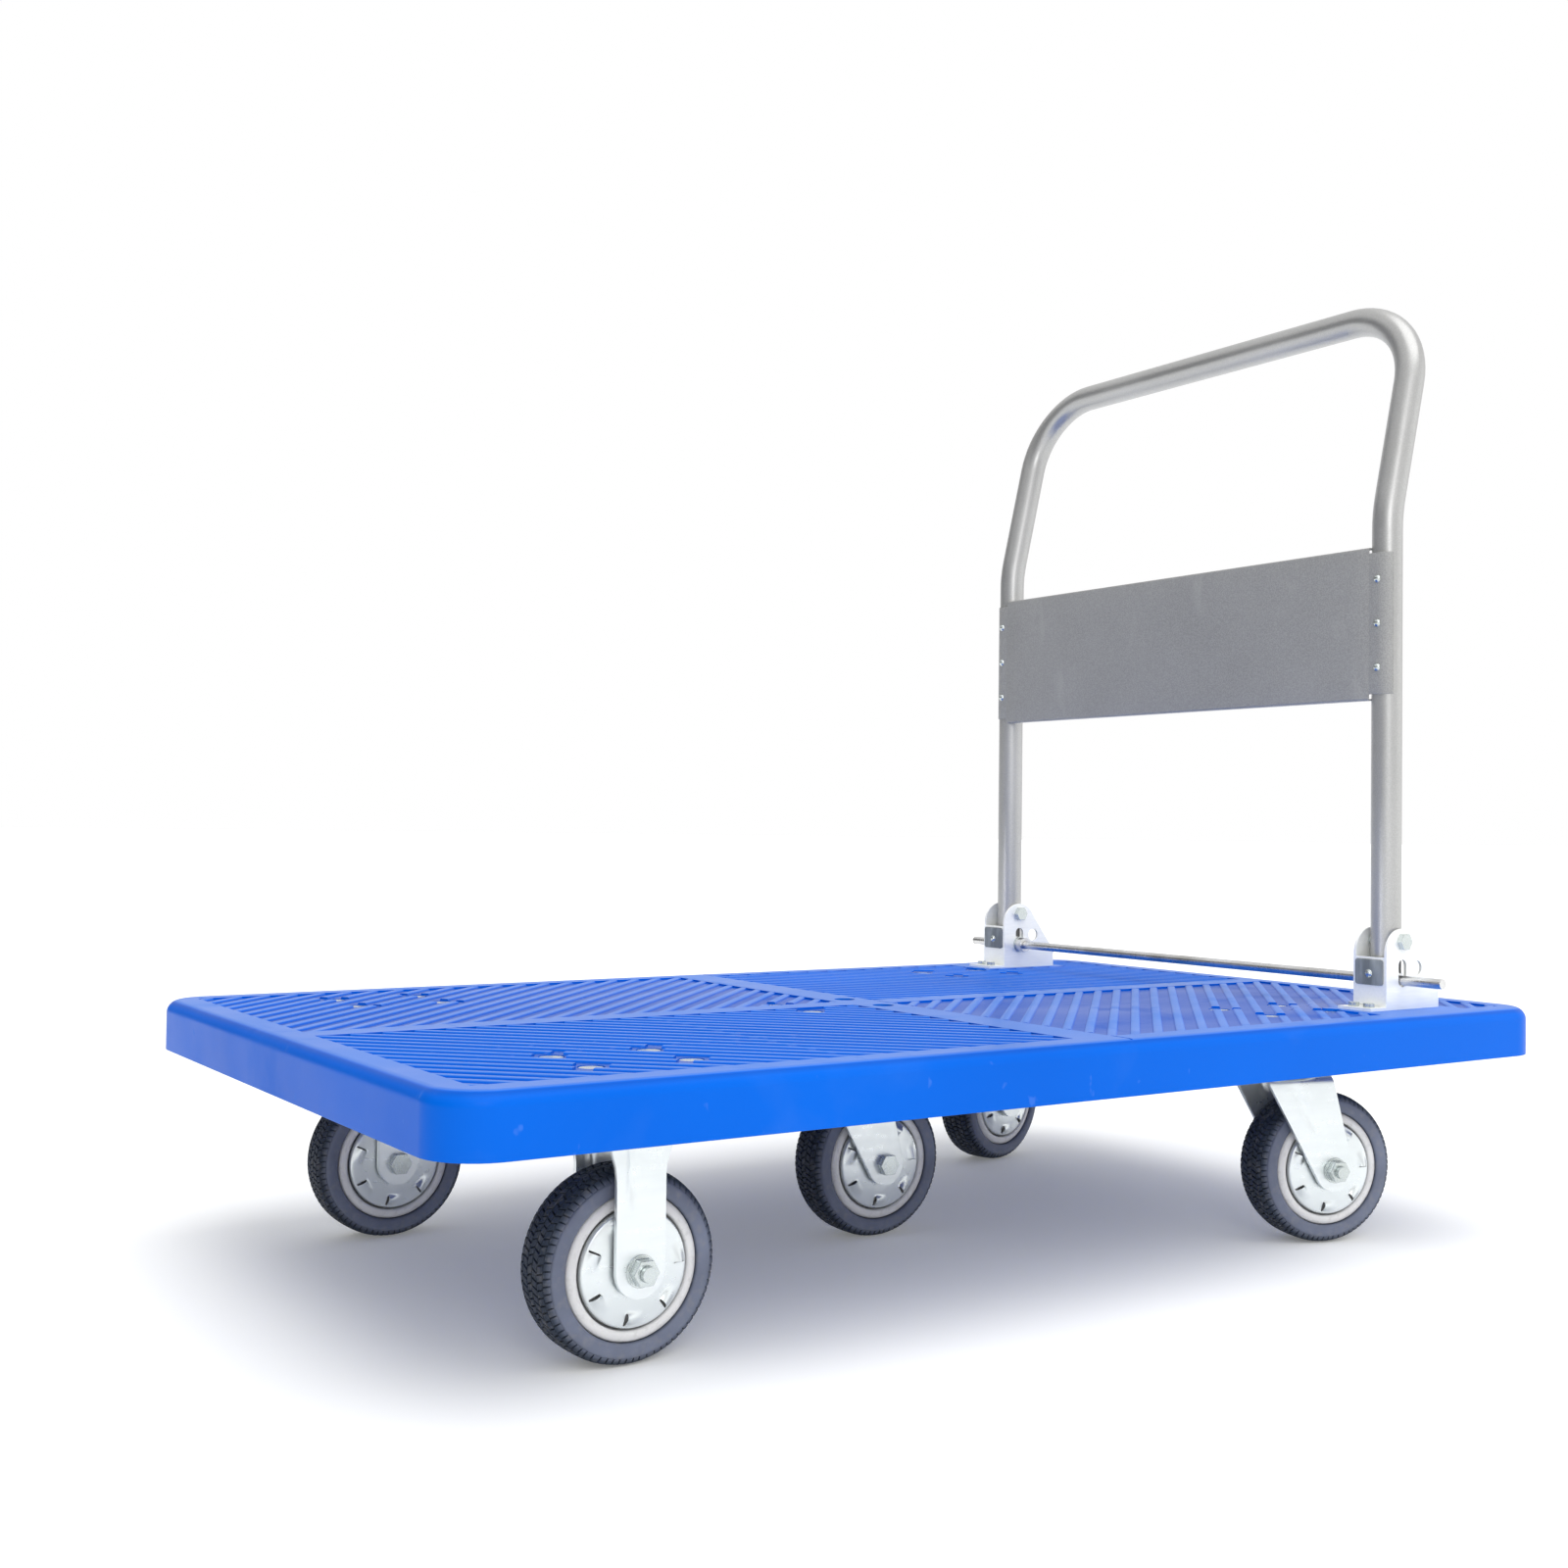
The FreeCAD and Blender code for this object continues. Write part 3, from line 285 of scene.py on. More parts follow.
def tyre_look():
    """Blue-grey rubber, paler on the sides, with dust in its pores and a matt bloom."""
    look = Look("blue_grey_rubber", srgb(66, 71, 90), 0.72, specular=0.32)
    bloom = look.window(look.noise(24, 5.0, distortion=0.3), 0.34, 0.72)
    dust = look.window(look.noise(130, 6.0), 0.52, 0.72)
    split = look.node("ShaderNodeSeparateXYZ", Vector=look.place)
    aside = look.node("ShaderNodeMath", Value=split.outputs["Y"])
    aside.operation = "ABSOLUTE"
    # the blend from tread to sidewall, in metres from the wheel's middle
    side = look.window(aside.outputs[0], 0.0195, 0.0235)
    tread = look.mix(bloom, srgb(36, 44, 58), srgb(50, 60, 76))
    wall = look.mix(bloom, srgb(96, 102, 120), srgb(116, 123, 142))
    tone = look.mix(side, tread, wall)
    look.paint(look.mix(look.window(dust, 0, 1, 0, 0.28), tone, srgb(146, 143, 142)))
    look.rough(look.add(look.window(bloom, 0, 1, 0.58, 0.74), look.window(dust, 0, 1, 0, 0.18)))
    look.bump(look.noise(420, 3.0), 0.10, 0.55)
    look.bump(look.noise(60, 3.0), 0.25, 0.3)
    return look.material


def rim_look():
    """Light grey moulded plastic with a satin skin and a little dust."""
    look = Look("grey_rim_plastic", srgb(196, 192, 194), 0.42)
    drift = look.window(look.noise(30, 4.0), 0.35, 0.68)
    dust = look.window(look.noise(160, 5.0), 0.55, 0.74)
    tone = look.mix(drift, srgb(208, 207, 208), srgb(221, 221, 221))
    look.paint(look.mix(look.window(dust, 0, 1, 0, 0.3), tone, srgb(150, 146, 142)))
    look.rough(look.add(look.window(drift, 0, 1, 0.32, 0.46), look.window(dust, 0, 1, 0, 0.2)))
    look.bump(look.noise(700, 2.0), 0.04, 0.5)
    return look.material


def pad_look():
    """Grey rubber of the stop pads, with rub marks."""
    look = Look("grey_rubber", srgb(118, 124, 126), 0.6, specular=0.35)
    rub = look.window(look.noise(90, 4.0, (1, 1, 0.3)), 0.4, 0.7)
    look.paint(look.mix(rub, srgb(104, 110, 113), srgb(142, 148, 150)))
    look.rough(look.window(rub, 0, 1, 0.66, 0.44))
    look.bump(look.noise(500, 3.0), 0.08, 0.5)
    return look.material


def studio_look():
    """White studio sheet with the faintest mottling, lit a little from below like a light table."""
    look = Look("studio_paper", (0.9, 0.9, 0.9, 1.0), 0.95, specular=0.1)
    mottle = look.window(look.noise(1.5, 3.0), 0.3, 0.7)
    look.paint(look.mix(mottle, (0.895, 0.9, 0.895, 1.0), (0.915, 0.918, 0.912, 1.0)))
    look.shader.inputs["Emission Color"].default_value = (0.98, 1.0, 0.99, 1.0)
    look.shader.inputs["Emission Strength"].default_value = FLOOR_GLOW
    return look.material


LOOKS = {
    "deck_plastic": deck_look(),
    "caster_zinc": zinc_look("caster_zinc", srgb(230, 235, 236), srgb(212, 219, 218), (0.05, 1, 0.4)),
    "bracket_zinc": zinc_look("bracket_zinc", srgb(250, 251, 248), srgb(240, 241, 234), (0.1, 1, 1),
                              (0.3, 0.42), 0.3),
    "fastener_zinc": zinc_look("fastener_zinc", srgb(202, 209, 208), srgb(158, 165, 160), (1, 1, 0.2),
                               (0.18, 0.3), 0.9),
    "ball_steel": zinc_look("ball_steel", srgb(206, 207, 210), srgb(170, 170, 174), (1, 1, 1),
                            (0.1, 0.2)),
    "rod_steel": rod_look(),
    "handle_paint": powder_look("silver_powder_coat", srgb(170, 170, 169), srgb(182, 182, 181),
                                (0.32, 0.42), 240, 0.7),
    "panel_paint": powder_look("grey_powder_coat", srgb(140, 140, 139), srgb(148, 148, 147),
                               (0.42, 0.52), 300, 0.0),
    "tyre_rubber": tyre_look(),
    "rim_plastic": rim_look(),
    "stop_rubber": pad_look(),
}
SLOT_OF = {part["node"]: part["material_slot"] for part in frame["record"]["subparts"]}


def dress_cad_nodes():
    """Give every CAD node its slot's material."""
    for name, thing in NODES.items():
        mesh = thing.data
        mesh.materials.clear()
        mesh.materials.append(LOOKS[SLOT_OF[name]])


# ------------------------------------------------------------------ mesh helpers

class Shape:
    """Points in millimetres and faces, gathered from several strips or blocks."""

    def __init__(self):
        self.points = []
        self.faces = []

    def grid(self, rows, close_rows=False, close_columns=False, flip=False):
        """Join rows of points with quads; either direction may close on itself."""
        start = len(self.points)
        wide = len(rows[0])
        for row in rows:
            self.points.extend(Vector(point) for point in row)
        for i in range(len(rows) if close_rows else len(rows) - 1):
            for j in range(wide if close_columns else wide - 1):
                a = start + i * wide + j
                b = start + i * wide + (j + 1) % wide
                c = start + (i + 1) % len(rows) * wide + (j + 1) % wide
                d = start + (i + 1) % len(rows) * wide + j
                self.faces.append((d, c, b, a) if flip else (a, b, c, d))

    def polygon(self, points, flip=False):
        """One flat face from its own points."""
        start = len(self.points)
        self.points.extend(Vector(point) for point in points)
        spots = list(range(start, start + len(points)))
        self.faces.append(tuple(reversed(spots)) if flip else tuple(spots))

    def moved(self, matrix):
        """This shape's points through a matrix, as a new shape."""
        made = Shape()
        made.points = [matrix @ point for point in self.points]
        made.faces = list(self.faces)
        return made

    def take(self, other):
        """Add another shape's points and faces."""
        start = len(self.points)
        self.points.extend(other.points)
        self.faces.extend(tuple(spot + start for spot in face) for face in other.faces)


SAME_POINT = 1e-6   # metres; points closer than this are one point


def spin(profile, steps, axis="Y"):
    """A profile of (radius, height) turned once about an axis; the profile closes on itself."""
    rows = []
    for step in range(steps):
        angle = 2 * math.pi * step / steps
        across, up = math.cos(angle), math.sin(angle)
        if axis == "Y":
            rows.append([(radius * across, high, radius * up) for radius, high in profile])
        else:
            rows.append([(radius * across, radius * up, high) for radius, high in profile])
    made = Shape()
    made.grid(rows, close_rows=True, close_columns=True)
    return made


def finished_mesh(name, shape, bevel=0.0, sharp=35.0, merge=SAME_POINT):
    """A clean mesh in metres, with its sharp edges rounded by the bevel's width."""
    mesh = bpy.data.meshes.new(name)
    work = bmesh.new()
    corners = [work.verts.new(point * MM) for point in shape.points]
    for face in shape.faces:
        work.faces.new([corners[spot] for spot in face])
    bmesh.ops.remove_doubles(work, verts=work.verts, dist=merge)
    return polished(mesh, work, bevel, sharp)


def polished(mesh, work, bevel, sharp):
    """Finish a bmesh: outward normals, rounded edges, and smooth faces between sharp edges."""
    bmesh.ops.recalc_face_normals(work, faces=work.faces)
    if bevel:
        limit = math.radians(sharp)
        edges = [edge for edge in work.edges
                 if len(edge.link_faces) == 2 and edge.calc_face_angle(0) > limit]
        bmesh.ops.bevel(work, geom=edges, offset=bevel * MM, offset_type="OFFSET", segments=2,
                        profile=0.5, affect="EDGES", clamp_overlap=True)
        bmesh.ops.remove_doubles(work, verts=work.verts, dist=SAME_POINT)
    for face in work.faces:
        face.smooth = True
    for edge in work.edges:
        if len(edge.link_faces) == 2 and edge.calc_face_angle(0) > math.radians(sharp + 6):
            edge.smooth = False
    work.to_mesh(mesh)
    work.free()
    return mesh


def piece(name, mesh, body, slot, replaced=(), place=None):
    """Put a mesh in the scene as a named piece that rides on a body."""
    made = bpy.data.objects.new(name, mesh)
    bpy.context.scene.collection.objects.link(made)
    if not mesh.materials:
        mesh.materials.append(LOOKS[slot])
    if place is not None:
        made.matrix_world = place
    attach(made, body)
    if replaced:
        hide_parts(*replaced)
    return made


def softened(node, bevel, sharp=35.0):
    """A CAD node's shape again, with its sharp edges rounded, in the node's place."""
    work = bmesh.new()
    work.from_mesh(NODES[node].data)
    bmesh.ops.remove_doubles(work, verts=work.verts, dist=2e-6)
    # a face pierced by many cells can't be one polygon, so the deck's underside stays in triangles
    whole = node != "deck_platform"
    joined = [edge for edge in work.edges
              if whole or not all(face.normal.z < -0.99 for face in edge.link_faces)]
    bmesh.ops.dissolve_limit(work, angle_limit=math.radians(0.6), verts=work.verts, edges=joined)
    mesh = polished(bpy.data.meshes.new(node + "_soft"), work, bevel, sharp)
    made = piece(node + "_piece", mesh, NODES[node]["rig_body"], SLOT_OF[node], [node])
    flatten = made.modifiers.new("flat_faces", "WEIGHTED_NORMAL")
    flatten.keep_sharp = True
    flatten.weight = 100


# ------------------------------------------------------------------ deck

deck_low, deck_high = box_mm("deck_platform")
BORDER = 32.0        # flat strip round the deck
BAND_CROSS = 22.0    # half width of the band across the deck
BAND_LONG = 15.0     # half width of the band along it
PARTING = 2.0        # width of the parting groove beside the cross band
FIELD_FLOOR = deck_high.z - FIELD_DEPTH
RIB_TOP = deck_high.z - 0.2
RIB_PITCH = 20.0
RIB_HALF = 4.4
SHORT_RIB = 6.0      # ribs across a field's corner are longer than this
SHORT_STUB = 4.0     # and so are stubs beside a gap
BURY = 1.5           # ribs run this far into the flat strips, to hide their ends
BOLT_X = 43.0
BOLT_Y = 33.0
BOLT_CLEAR = 14.0    # ribs keep this far from a caster bolt
BEYOND = 2000.0      # further than any point of the deck
ISLAND_LOW_X = box_mm("handle_bracket_left")[0].x - 12.0
ISLAND_HIGH_X = box_mm("handle_bracket_left")[1].x + 12.0
ISLAND_Y = box_mm("handle_bracket_right")[0].y - 10.0


def bolt_spots():
    """Plan positions of the caster bolts, where the ribs stop."""
    spots = []
    for name in FIXED + SWIVEL:
        place = caster_place(name)
        spots += [Vector((place.x + x, place.y + y))
                  for x in (-BOLT_X, BOLT_X) for y in (-BOLT_Y, BOLT_Y)]
    return spots


BOLTS = bolt_spots()


def box_cut(low, high, foot, direction):
    """Where a line enters and leaves a rectangle, as distances along it."""
    start, end = -BEYOND, BEYOND
    for axis in range(2):
        near = (low[axis] - foot[axis]) / direction[axis]
        far = (high[axis] - foot[axis]) / direction[axis]
        start = max(start, min(near, far))
        end = min(end, max(near, far))
    return start, end


def rib_spans(low, high, direction, offset, islands):
    """Where a diagonal rib runs inside a field, clear of the brackets and the caster bolts."""
    across = Vector((-direction.y, direction.x))
    foot = across * offset
    cuts = [box_cut(*island, foot, direction) for island in islands]
    for bolt in BOLTS:
        aside = max(0.0, abs((bolt - foot).dot(across)) - RIB_HALF)
        if aside < BOLT_CLEAR:
            half = math.sqrt(BOLT_CLEAR ** 2 - aside ** 2)
            middle = (bolt - foot).dot(direction)
            cuts.append((middle - half, middle + half))
    start, end = box_cut(low, high, foot, direction)
    spans = [(start, end)] if end - start > SHORT_RIB else []
    for cut_start, cut_end in cuts:
        if cut_end <= cut_start:
            continue
        kept = []
        for first, last in spans:
            if cut_end <= first or cut_start >= last:
                kept.append((first, last))
                continue
            if cut_start - first > SHORT_STUB:
                kept.append((first, cut_start))
            if last - cut_end > SHORT_STUB:
                kept.append((cut_end, last))
        spans = kept
    return foot, spans


def rib_bar(shape, first, last, across):
    """One rib between two points, with a softly rounded crown; its foot is sunk in the floor."""
    section = [(-RIB_HALF - 0.5, FIELD_FLOOR - 0.4), (-RIB_HALF, FIELD_FLOOR + 0.5),
               (-RIB_HALF + 0.5, RIB_TOP - 0.5), (-RIB_HALF + 1.2, RIB_TOP - 0.1), (0.0, RIB_TOP),
               (RIB_HALF - 1.2, RIB_TOP - 0.1), (RIB_HALF - 0.5, RIB_TOP - 0.5),
               (RIB_HALF, FIELD_FLOOR + 0.5), (RIB_HALF + 0.5, FIELD_FLOOR - 0.4)]
    rows = []
    for point in (first, last):
        rows.append([(point.x + across.x * side, point.y + across.y * side, high)
                     for side, high in section])
    shape.grid(rows, close_columns=True)
    shape.polygon(rows[0])
    shape.polygon(rows[1], flip=True)


def make_ribs():
    """Diagonal grip ribs in the four fields, turned so that they form diamonds about the middle."""
    outer_x = (deck_high.x - deck_low.x) / 2 - BORDER
    outer_y = (deck_high.y - deck_low.y) / 2 - BORDER
    count = int(BEYOND / 2 / RIB_PITCH)
    shape = Shape()
    for side_x in (-1, 1):
        for side_y in (-1, 1):
            if side_x < 0:
                low_x, high_x = -outer_x - BURY, -BAND_CROSS + BURY
            else:
                low_x, high_x = BAND_CROSS + PARTING + 0.3, outer_x + BURY
            low_y, high_y = sorted((side_y * (BAND_LONG - BURY), side_y * (outer_y + BURY)))
            direction = Vector((1.0, -side_x * side_y)).normalized()
            across = Vector((-direction.y, direction.x))
            islands = []
            if side_x > 0:
                near_y, far_y = sorted((side_y * (ISLAND_Y + BURY), side_y * (outer_y + 3 * BURY)))
                islands.append(((ISLAND_LOW_X + BURY, near_y), (ISLAND_HIGH_X - BURY, far_y)))
            for step in range(-count, count + 1):
                offset = (step + 0.5) * RIB_PITCH
                foot, spans = rib_spans((low_x, low_y), (high_x, high_y), direction, offset, islands)
                for start, end in spans:
                    rib_bar(shape, foot + direction * start, foot + direction * end, across)
    mesh = finished_mesh("deck_grip_ribs", shape)
    piece("deck_grip_ribs", mesh, "deck", "deck_plastic")


# ------------------------------------------------------------------ wheels

def wheel_axis(name):
    """The axle's direction, from the wheel's joint."""
    return Vector(JOINTS[name + "_roll"]["axis"]).normalized()


def wheel_place(name):
    """Matrix that puts a wheel made about its Y axis on its caster."""
    low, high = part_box(name + "_tyre")
    return turned_place((low + high) / 2, wheel_axis(name))


def turned_place(spot, axis):
    """Matrix with Y along the axle, Z up, at a spot."""
    up = Vector((0, 0, 1))
    forward = axis.cross(up).normalized()
    turn = Matrix((forward, axis, up)).transposed().to_4x4()
    return Matrix.Translation(spot) @ turn


WHEEL_RAD = 75.0
TYRE_HALF = 24.5     # half width over the sidewalls
TREAD_DEEP = 2.1
SEAT_RAD = 56.0      # where the tyre sits on its rim
ROUND_STEPS = 96
BLOCK_GAP = 1.15     # between tread blocks, along the tread
BLOCK_INSET = 0.35   # a block's top is this much smaller than its foot, all round


def crown(across):
    """Radius of the tread's surface at a distance from the wheel's middle."""
    shoulder = max(0.0, abs(across) - 14.0) / 8.0
    return WHEEL_RAD - 0.05 - 0.7 * (across / 18.0) ** 2 - 4.6 * shoulder ** 2


def tyre_shape():
    """Carcass with smooth sidewalls, and seven bands of small skewed tread blocks."""
    side = [(SEAT_RAD + 0.2, 18.0), (SEAT_RAD + 0.4, 22.0), (SEAT_RAD + 1.0, 23.4),
            (SEAT_RAD + 2.2, 24.2), (SEAT_RAD + 4.0, TYRE_HALF), (62.5, TYRE_HALF - 0.1),
            (65.0, 24.1), (67.0, 23.4), (68.0, 22.6)]
    side += [(crown(across) - TREAD_DEEP, across) for across in (21.0, 19.0, 17.0, 14.0, 10.0, 5.0)]
    middle = [(crown(0.0) - TREAD_DEEP, 0.0)]
    shape = spin(side + middle + [(radius, -high) for radius, high in reversed(side)], ROUND_STEPS)
    # each band: its two sides, and how far its blocks lean, as a share of their length
    bands = [(-22.0, -18.4, 0.05), (-17.3, -11.8, 0.12), (-10.8, -4.4, -0.16), (-3.3, 3.3, 0.16),
             (4.4, 10.8, -0.16), (11.8, 17.3, 0.12), (18.4, 22.0, 0.05)]
    pitches = [5.6, 6.6, 6.1, 7.1, 5.9, 6.4, 7.4, 6.0]   # uneven, as on a real tread
    for band, (start, end, skew) in enumerate(bands):
        lengths = []
        while sum(lengths) < 2 * math.pi * WHEEL_RAD - 4:
            lengths.append(pitches[(len(lengths) * 3 + band) % len(pitches)])
        scale = 2 * math.pi / sum(lengths)
        angle = 0.31 * band
        for length in lengths:
            last = angle + (length - BLOCK_GAP) * scale
            tread_block(shape, start, end, angle, last, skew * length * scale)
            angle += length * scale
    return shape


def tread_block(shape, start, end, first, last, skew):
    """One tread block between two widths and two angles, its top a little smaller than its foot."""
    turn = BLOCK_INSET / WHEEL_RAD
    middle = (first + last) / 2
    rings = []
    # rings at the buried foot, at the shoulder just under the top (None) and at the top
    for lift, shrink in ((-1.0, 0.0), (None, 0.0), (0.0, 1.0)):
        ring = []
        for across, angle, lean in ((start, first, -skew), (end, first, skew), (end, middle, skew),
                                    (end, last, skew), (start, last, -skew), (start, middle, -skew)):
            width = across + BLOCK_INSET * shrink * (1 if across == start else -1)
            inward = 0 if angle == middle else 1 if angle == first else -1
            turned = angle + lean + turn * shrink * inward
            radius = crown(across) - 0.45 if lift is None else crown(across) + lift * (TREAD_DEEP + 0.5)
            ring.append((radius * math.cos(turned), width, radius * math.sin(turned)))
        rings.append(ring)
    shape.grid(rings, close_columns=True)
    shape.polygon(rings[0])
    shape.polygon(rings[2], flip=True)


def rim_shape():
    """Moulded rim: tyre seat, rounded lip, a web and the hub."""
    half = [(17.5, 23.5), (24.0, 23.5), (25.0, 22.5), (25.4, 6.0), (27.0, 5.0), (45.2, 5.0),
            (46.6, 6.6), (47.1, 20.0), (47.3, 22.4), (47.9, 23.5), (49.0, 24.0), (50.4, 24.1),
            (52.2, 23.7), (53.6, 23.0), (54.6, 22.2), (55.4, 21.4), (55.9, 20.0), (SEAT_RAD, 12.0)]
    return spin(half + [(radius, -high) for radius, high in reversed(half)], ROUND_STEPS)


COVER_STEPS = 168
VANE_PITCH = COVER_STEPS // 7   # steps from one vane to the next; a disc has seven
VANE_STEPS = 11                 # steps along one vane, up to its opening
VANE_LOW, VANE_HIGH = 32.0, 42.8
VANE_LIFT = 4.2
COVER_THICK = 1.1
COVER_BEND, COVER_RIM = 45.0, 45.4   # the edge is rolled inwards between these radii


def cover_height(radius, turn):
    """Outward height of a cover disc, with its lanced vanes."""
    if radius <= 25.0:
        height = 28.4 - 0.5 * (radius / 25.0) ** 2
    elif radius <= 41.0:
        share = (radius - 25.0) / 16.0
        height = 27.9 - 2.0 * share ** 1.3
    else:
        share = (radius - 41.0) / 4.8
        height = 25.9 - 1.9 * share ** 2
    along = (turn % VANE_PITCH) / VANE_STEPS
    if VANE_LOW < radius < VANE_HIGH and along <= 1.0:
        ridge = math.sin(math.pi * (radius - VANE_LOW) / (VANE_HIGH - VANE_LOW))
        height += VANE_LIFT * along ** 1.3 * ridge
    return {COVER_BEND: 23.4, COVER_RIM: 21.4}.get(radius, height)


def cover_shape():
    """Two domed discs with rolled edges and seven lanced vanes each, open behind each vane."""
    radii = [11.0, 11.6, 14.0, 18.0, 22.0, 25.0, 28.0, 30.5, VANE_LOW, 33.4, 35.2, 37.2, 39.2, 41.2,
             VANE_HIGH, 43.6, 44.4, COVER_BEND, COVER_RIM]
    columns = len(radii)
    tops, unders = [], []
    for turn in range(COVER_STEPS):
        angle = 2 * math.pi * turn / COVER_STEPS
        for radius in radii:
            height = cover_height(radius, turn)
            tops.append(Vector((radius * math.cos(angle), height, radius * math.sin(angle))))
            drawn_in = radius - (0.9 if radius >= COVER_BEND else 0.0)
            height -= COVER_THICK if radius < COVER_RIM else 0.0
            unders.append(Vector((drawn_in * math.cos(angle), height, drawn_in * math.sin(angle))))
    shape = Shape()
    shape.points = tops + unders

    def top(turn, column):
        return turn % COVER_STEPS * columns + column

    def under(turn, column):
        return len(tops) + top(turn, column)

    def is_open(turn, column):
        """Whether the sheet is cut away here, just past a vane's raised end."""
        return (turn % VANE_PITCH == VANE_STEPS
                and VANE_LOW < radii[column] and radii[column + 1] <= VANE_HIGH)

    def wall(first, last):
        """Close the sheet's edge between two of its corners, each a (turn, column)."""
        shape.faces.append((top(*first), under(*first), under(*last), top(*last)))

    for turn in range(COVER_STEPS):
        after = turn + 1
        for column in range(columns - 1):
            if is_open(turn, column):
                continue
            beyond = column + 1
            shape.faces.append((top(turn, column), top(turn, beyond), top(after, beyond),
                                top(after, column)))
            shape.faces.append((under(after, column), under(after, beyond), under(turn, beyond),
                                under(turn, column)))
            if is_open(turn - 1, column):
                wall((turn, column), (turn, beyond))
            if is_open(after, column):
                wall((after, beyond), (after, column))
            if column and is_open(turn, column - 1):
                wall((after, column), (turn, column))
            if column < columns - 2 and is_open(turn, beyond):
                wall((turn, beyond), (after, beyond))
        for column in (0, columns - 1):
            shape.faces.append((top(turn, column), top(after, column), under(after, column),
                                under(turn, column)))
    shape.take(shape.moved(Matrix.Rotation(math.pi, 4, "Z")))
    return shape


def make_wheels():
    """Tyre, rim and cover discs of the five wheels."""
    tyre = finished_mesh("tyre_mesh", tyre_shape(), sharp=40)
    rim = finished_mesh("rim_mesh", rim_shape(), sharp=50)
    cover = finished_mesh("cover_mesh", cover_shape(), sharp=50)
    for name in FIXED + SWIVEL:
        place = wheel_place(name)
        body = name + "_wheel"
        piece(name + "_tyre_piece", tyre, body, "tyre_rubber", [name + "_tyre"], place)
        piece(name + "_rim_piece", rim, body, "rim_plastic", [name + "_rim"], place)
        piece(name + "_cover_piece", cover, body, "caster_zinc", [name + "_covers"], place)


# ------------------------------------------------------------------ forks

LEG_GAP = 31.5       # half the clear width between a fork's legs
LEG_THICK = 4.0
LEG_ROUND = 21.0     # radius of a leg's foot
AXLE_HIGH = 75.0
FORK_COLUMNS = 21
TOP_STEPS = 6
LEG_STEPS = 14
FOOT_STEPS = 10
FOOT_FULL = 10.4     # steps to the foot's lowest point, which the last row stops short of
PLATE_LOW = 182.0    # underside of a caster's top plate


def between(value, low, high, start, end):
    """A straight change from start to end as the value goes from low to high."""
    share = min(1.0, max(0.0, (value - low) / (high - low)))
    return start + (end - start) * share


def fork_strip(side, crown_high, bend_rad, edges, dent):
    """Half of a pressed fork: from the middle of its top, over the bend and down to the round foot."""
    outer = LEG_GAP + LEG_THICK
    # the path down the middle of the sheet's outside: y, z and the outward normal's y and z
    path = [((outer - bend_rad) * step / TOP_STEPS, crown_high, 0.0, 1.0) for step in range(TOP_STEPS + 1)]
    for step in range(1, TOP_STEPS + 1):
        angle = math.pi / 2 * (1 - step / TOP_STEPS)
        path.append((outer - bend_rad + bend_rad * math.cos(angle),
                     crown_high - bend_rad + bend_rad * math.sin(angle), math.cos(angle), math.sin(angle)))
    straight = crown_high - bend_rad
    for step in range(1, LEG_STEPS + 1):
        path.append((outer, straight + (AXLE_HIGH - straight) * step / LEG_STEPS, 1.0, 0.0))
    for step in range(1, FOOT_STEPS + 1):
        angle = math.pi / 2 * step / FOOT_FULL
        path.append((outer, AXLE_HIGH - LEG_ROUND * math.sin(angle), 1.0, 0.0))
    outside, inside = [], []
    for y, z, normal_y, normal_z in path:
        left, right = edges(y, z)
        outer_row, inner_row = [], []
        for column in range(FORK_COLUMNS):
            x = left + (right - left) * column / (FORK_COLUMNS - 1)
            sunk = dent(x, z)
            oy, oz = y - normal_y * sunk, z - normal_z * sunk
            outer_row.append((x, side * oy, oz))
            inner_row.append((x, side * (oy - normal_y * LEG_THICK), oz - normal_z * LEG_THICK))
        outside.append(outer_row)
        inside.append(inner_row)
    shape = Shape()
    shape.grid(outside, flip=side < 0)
    shape.grid(inside, flip=side > 0)
    for column in (0, -1):
        shape.grid([[row[column] for row in outside], [row[column] for row in inside]])
    shape.grid([outside[-1], inside[-1]])
    return shape


def foot_half(z):
    """Half the width of a leg's round foot at a height."""
    return math.sqrt(max(0.0, LEG_ROUND ** 2 - (AXLE_HIGH - z) ** 2))


def fixed_edges(y, z):
    """Side edges of a fixed fork's leg: straight, flared under the plate, round at the foot."""
    half = foot_half(z) if z < AXLE_HIGH else between(z, 151, 180, LEG_ROUND, LEG_ROUND + 9)
    return -half, half


def fixed_dent(x, z):
    """A pressed stiffening groove down the upper part of the leg."""
    across = math.exp(-((x + 9.0) / 3.0) ** 2)
    along = between(z, 124, 134, 0, 1) * between(z, 168, 180, 1, 0)
    return 2.6 * across * along


CROWN_RAD = 44.0     # round top of a swivel fork
CROWN_HIGH = 169.5
SWIVEL_BEND = 9.0    # radius of the bend from its top to its legs
TRAIL = 47.0         # axle behind the kingpin
TANGENT_DOWN = 0.57  # where the slanting edge meets the round foot, in foot radii from the axle
TANGENT_ASIDE = 0.82


def swivel_edges(y, z):
    """Side edges of a swivel fork: round over the crown, slanting down to a round foot."""
    if z < AXLE_HIGH:
        right = TRAIL + foot_half(z)
    else:
        right = between(z, AXLE_HIGH, CROWN_HIGH, TRAIL + LEG_ROUND, CROWN_RAD)
    bend_low = CROWN_HIGH - SWIVEL_BEND
    tangent_z = AXLE_HIGH - LEG_ROUND * TANGENT_DOWN
    if z > bend_low:
        left = -math.sqrt(CROWN_RAD ** 2 - min(y, CROWN_RAD) ** 2)
    elif z < tangent_z:
        left = TRAIL - foot_half(z)
    else:
        left = between(z, tangent_z, bend_low, TRAIL - LEG_ROUND * TANGENT_ASIDE, -26)
    return left, right


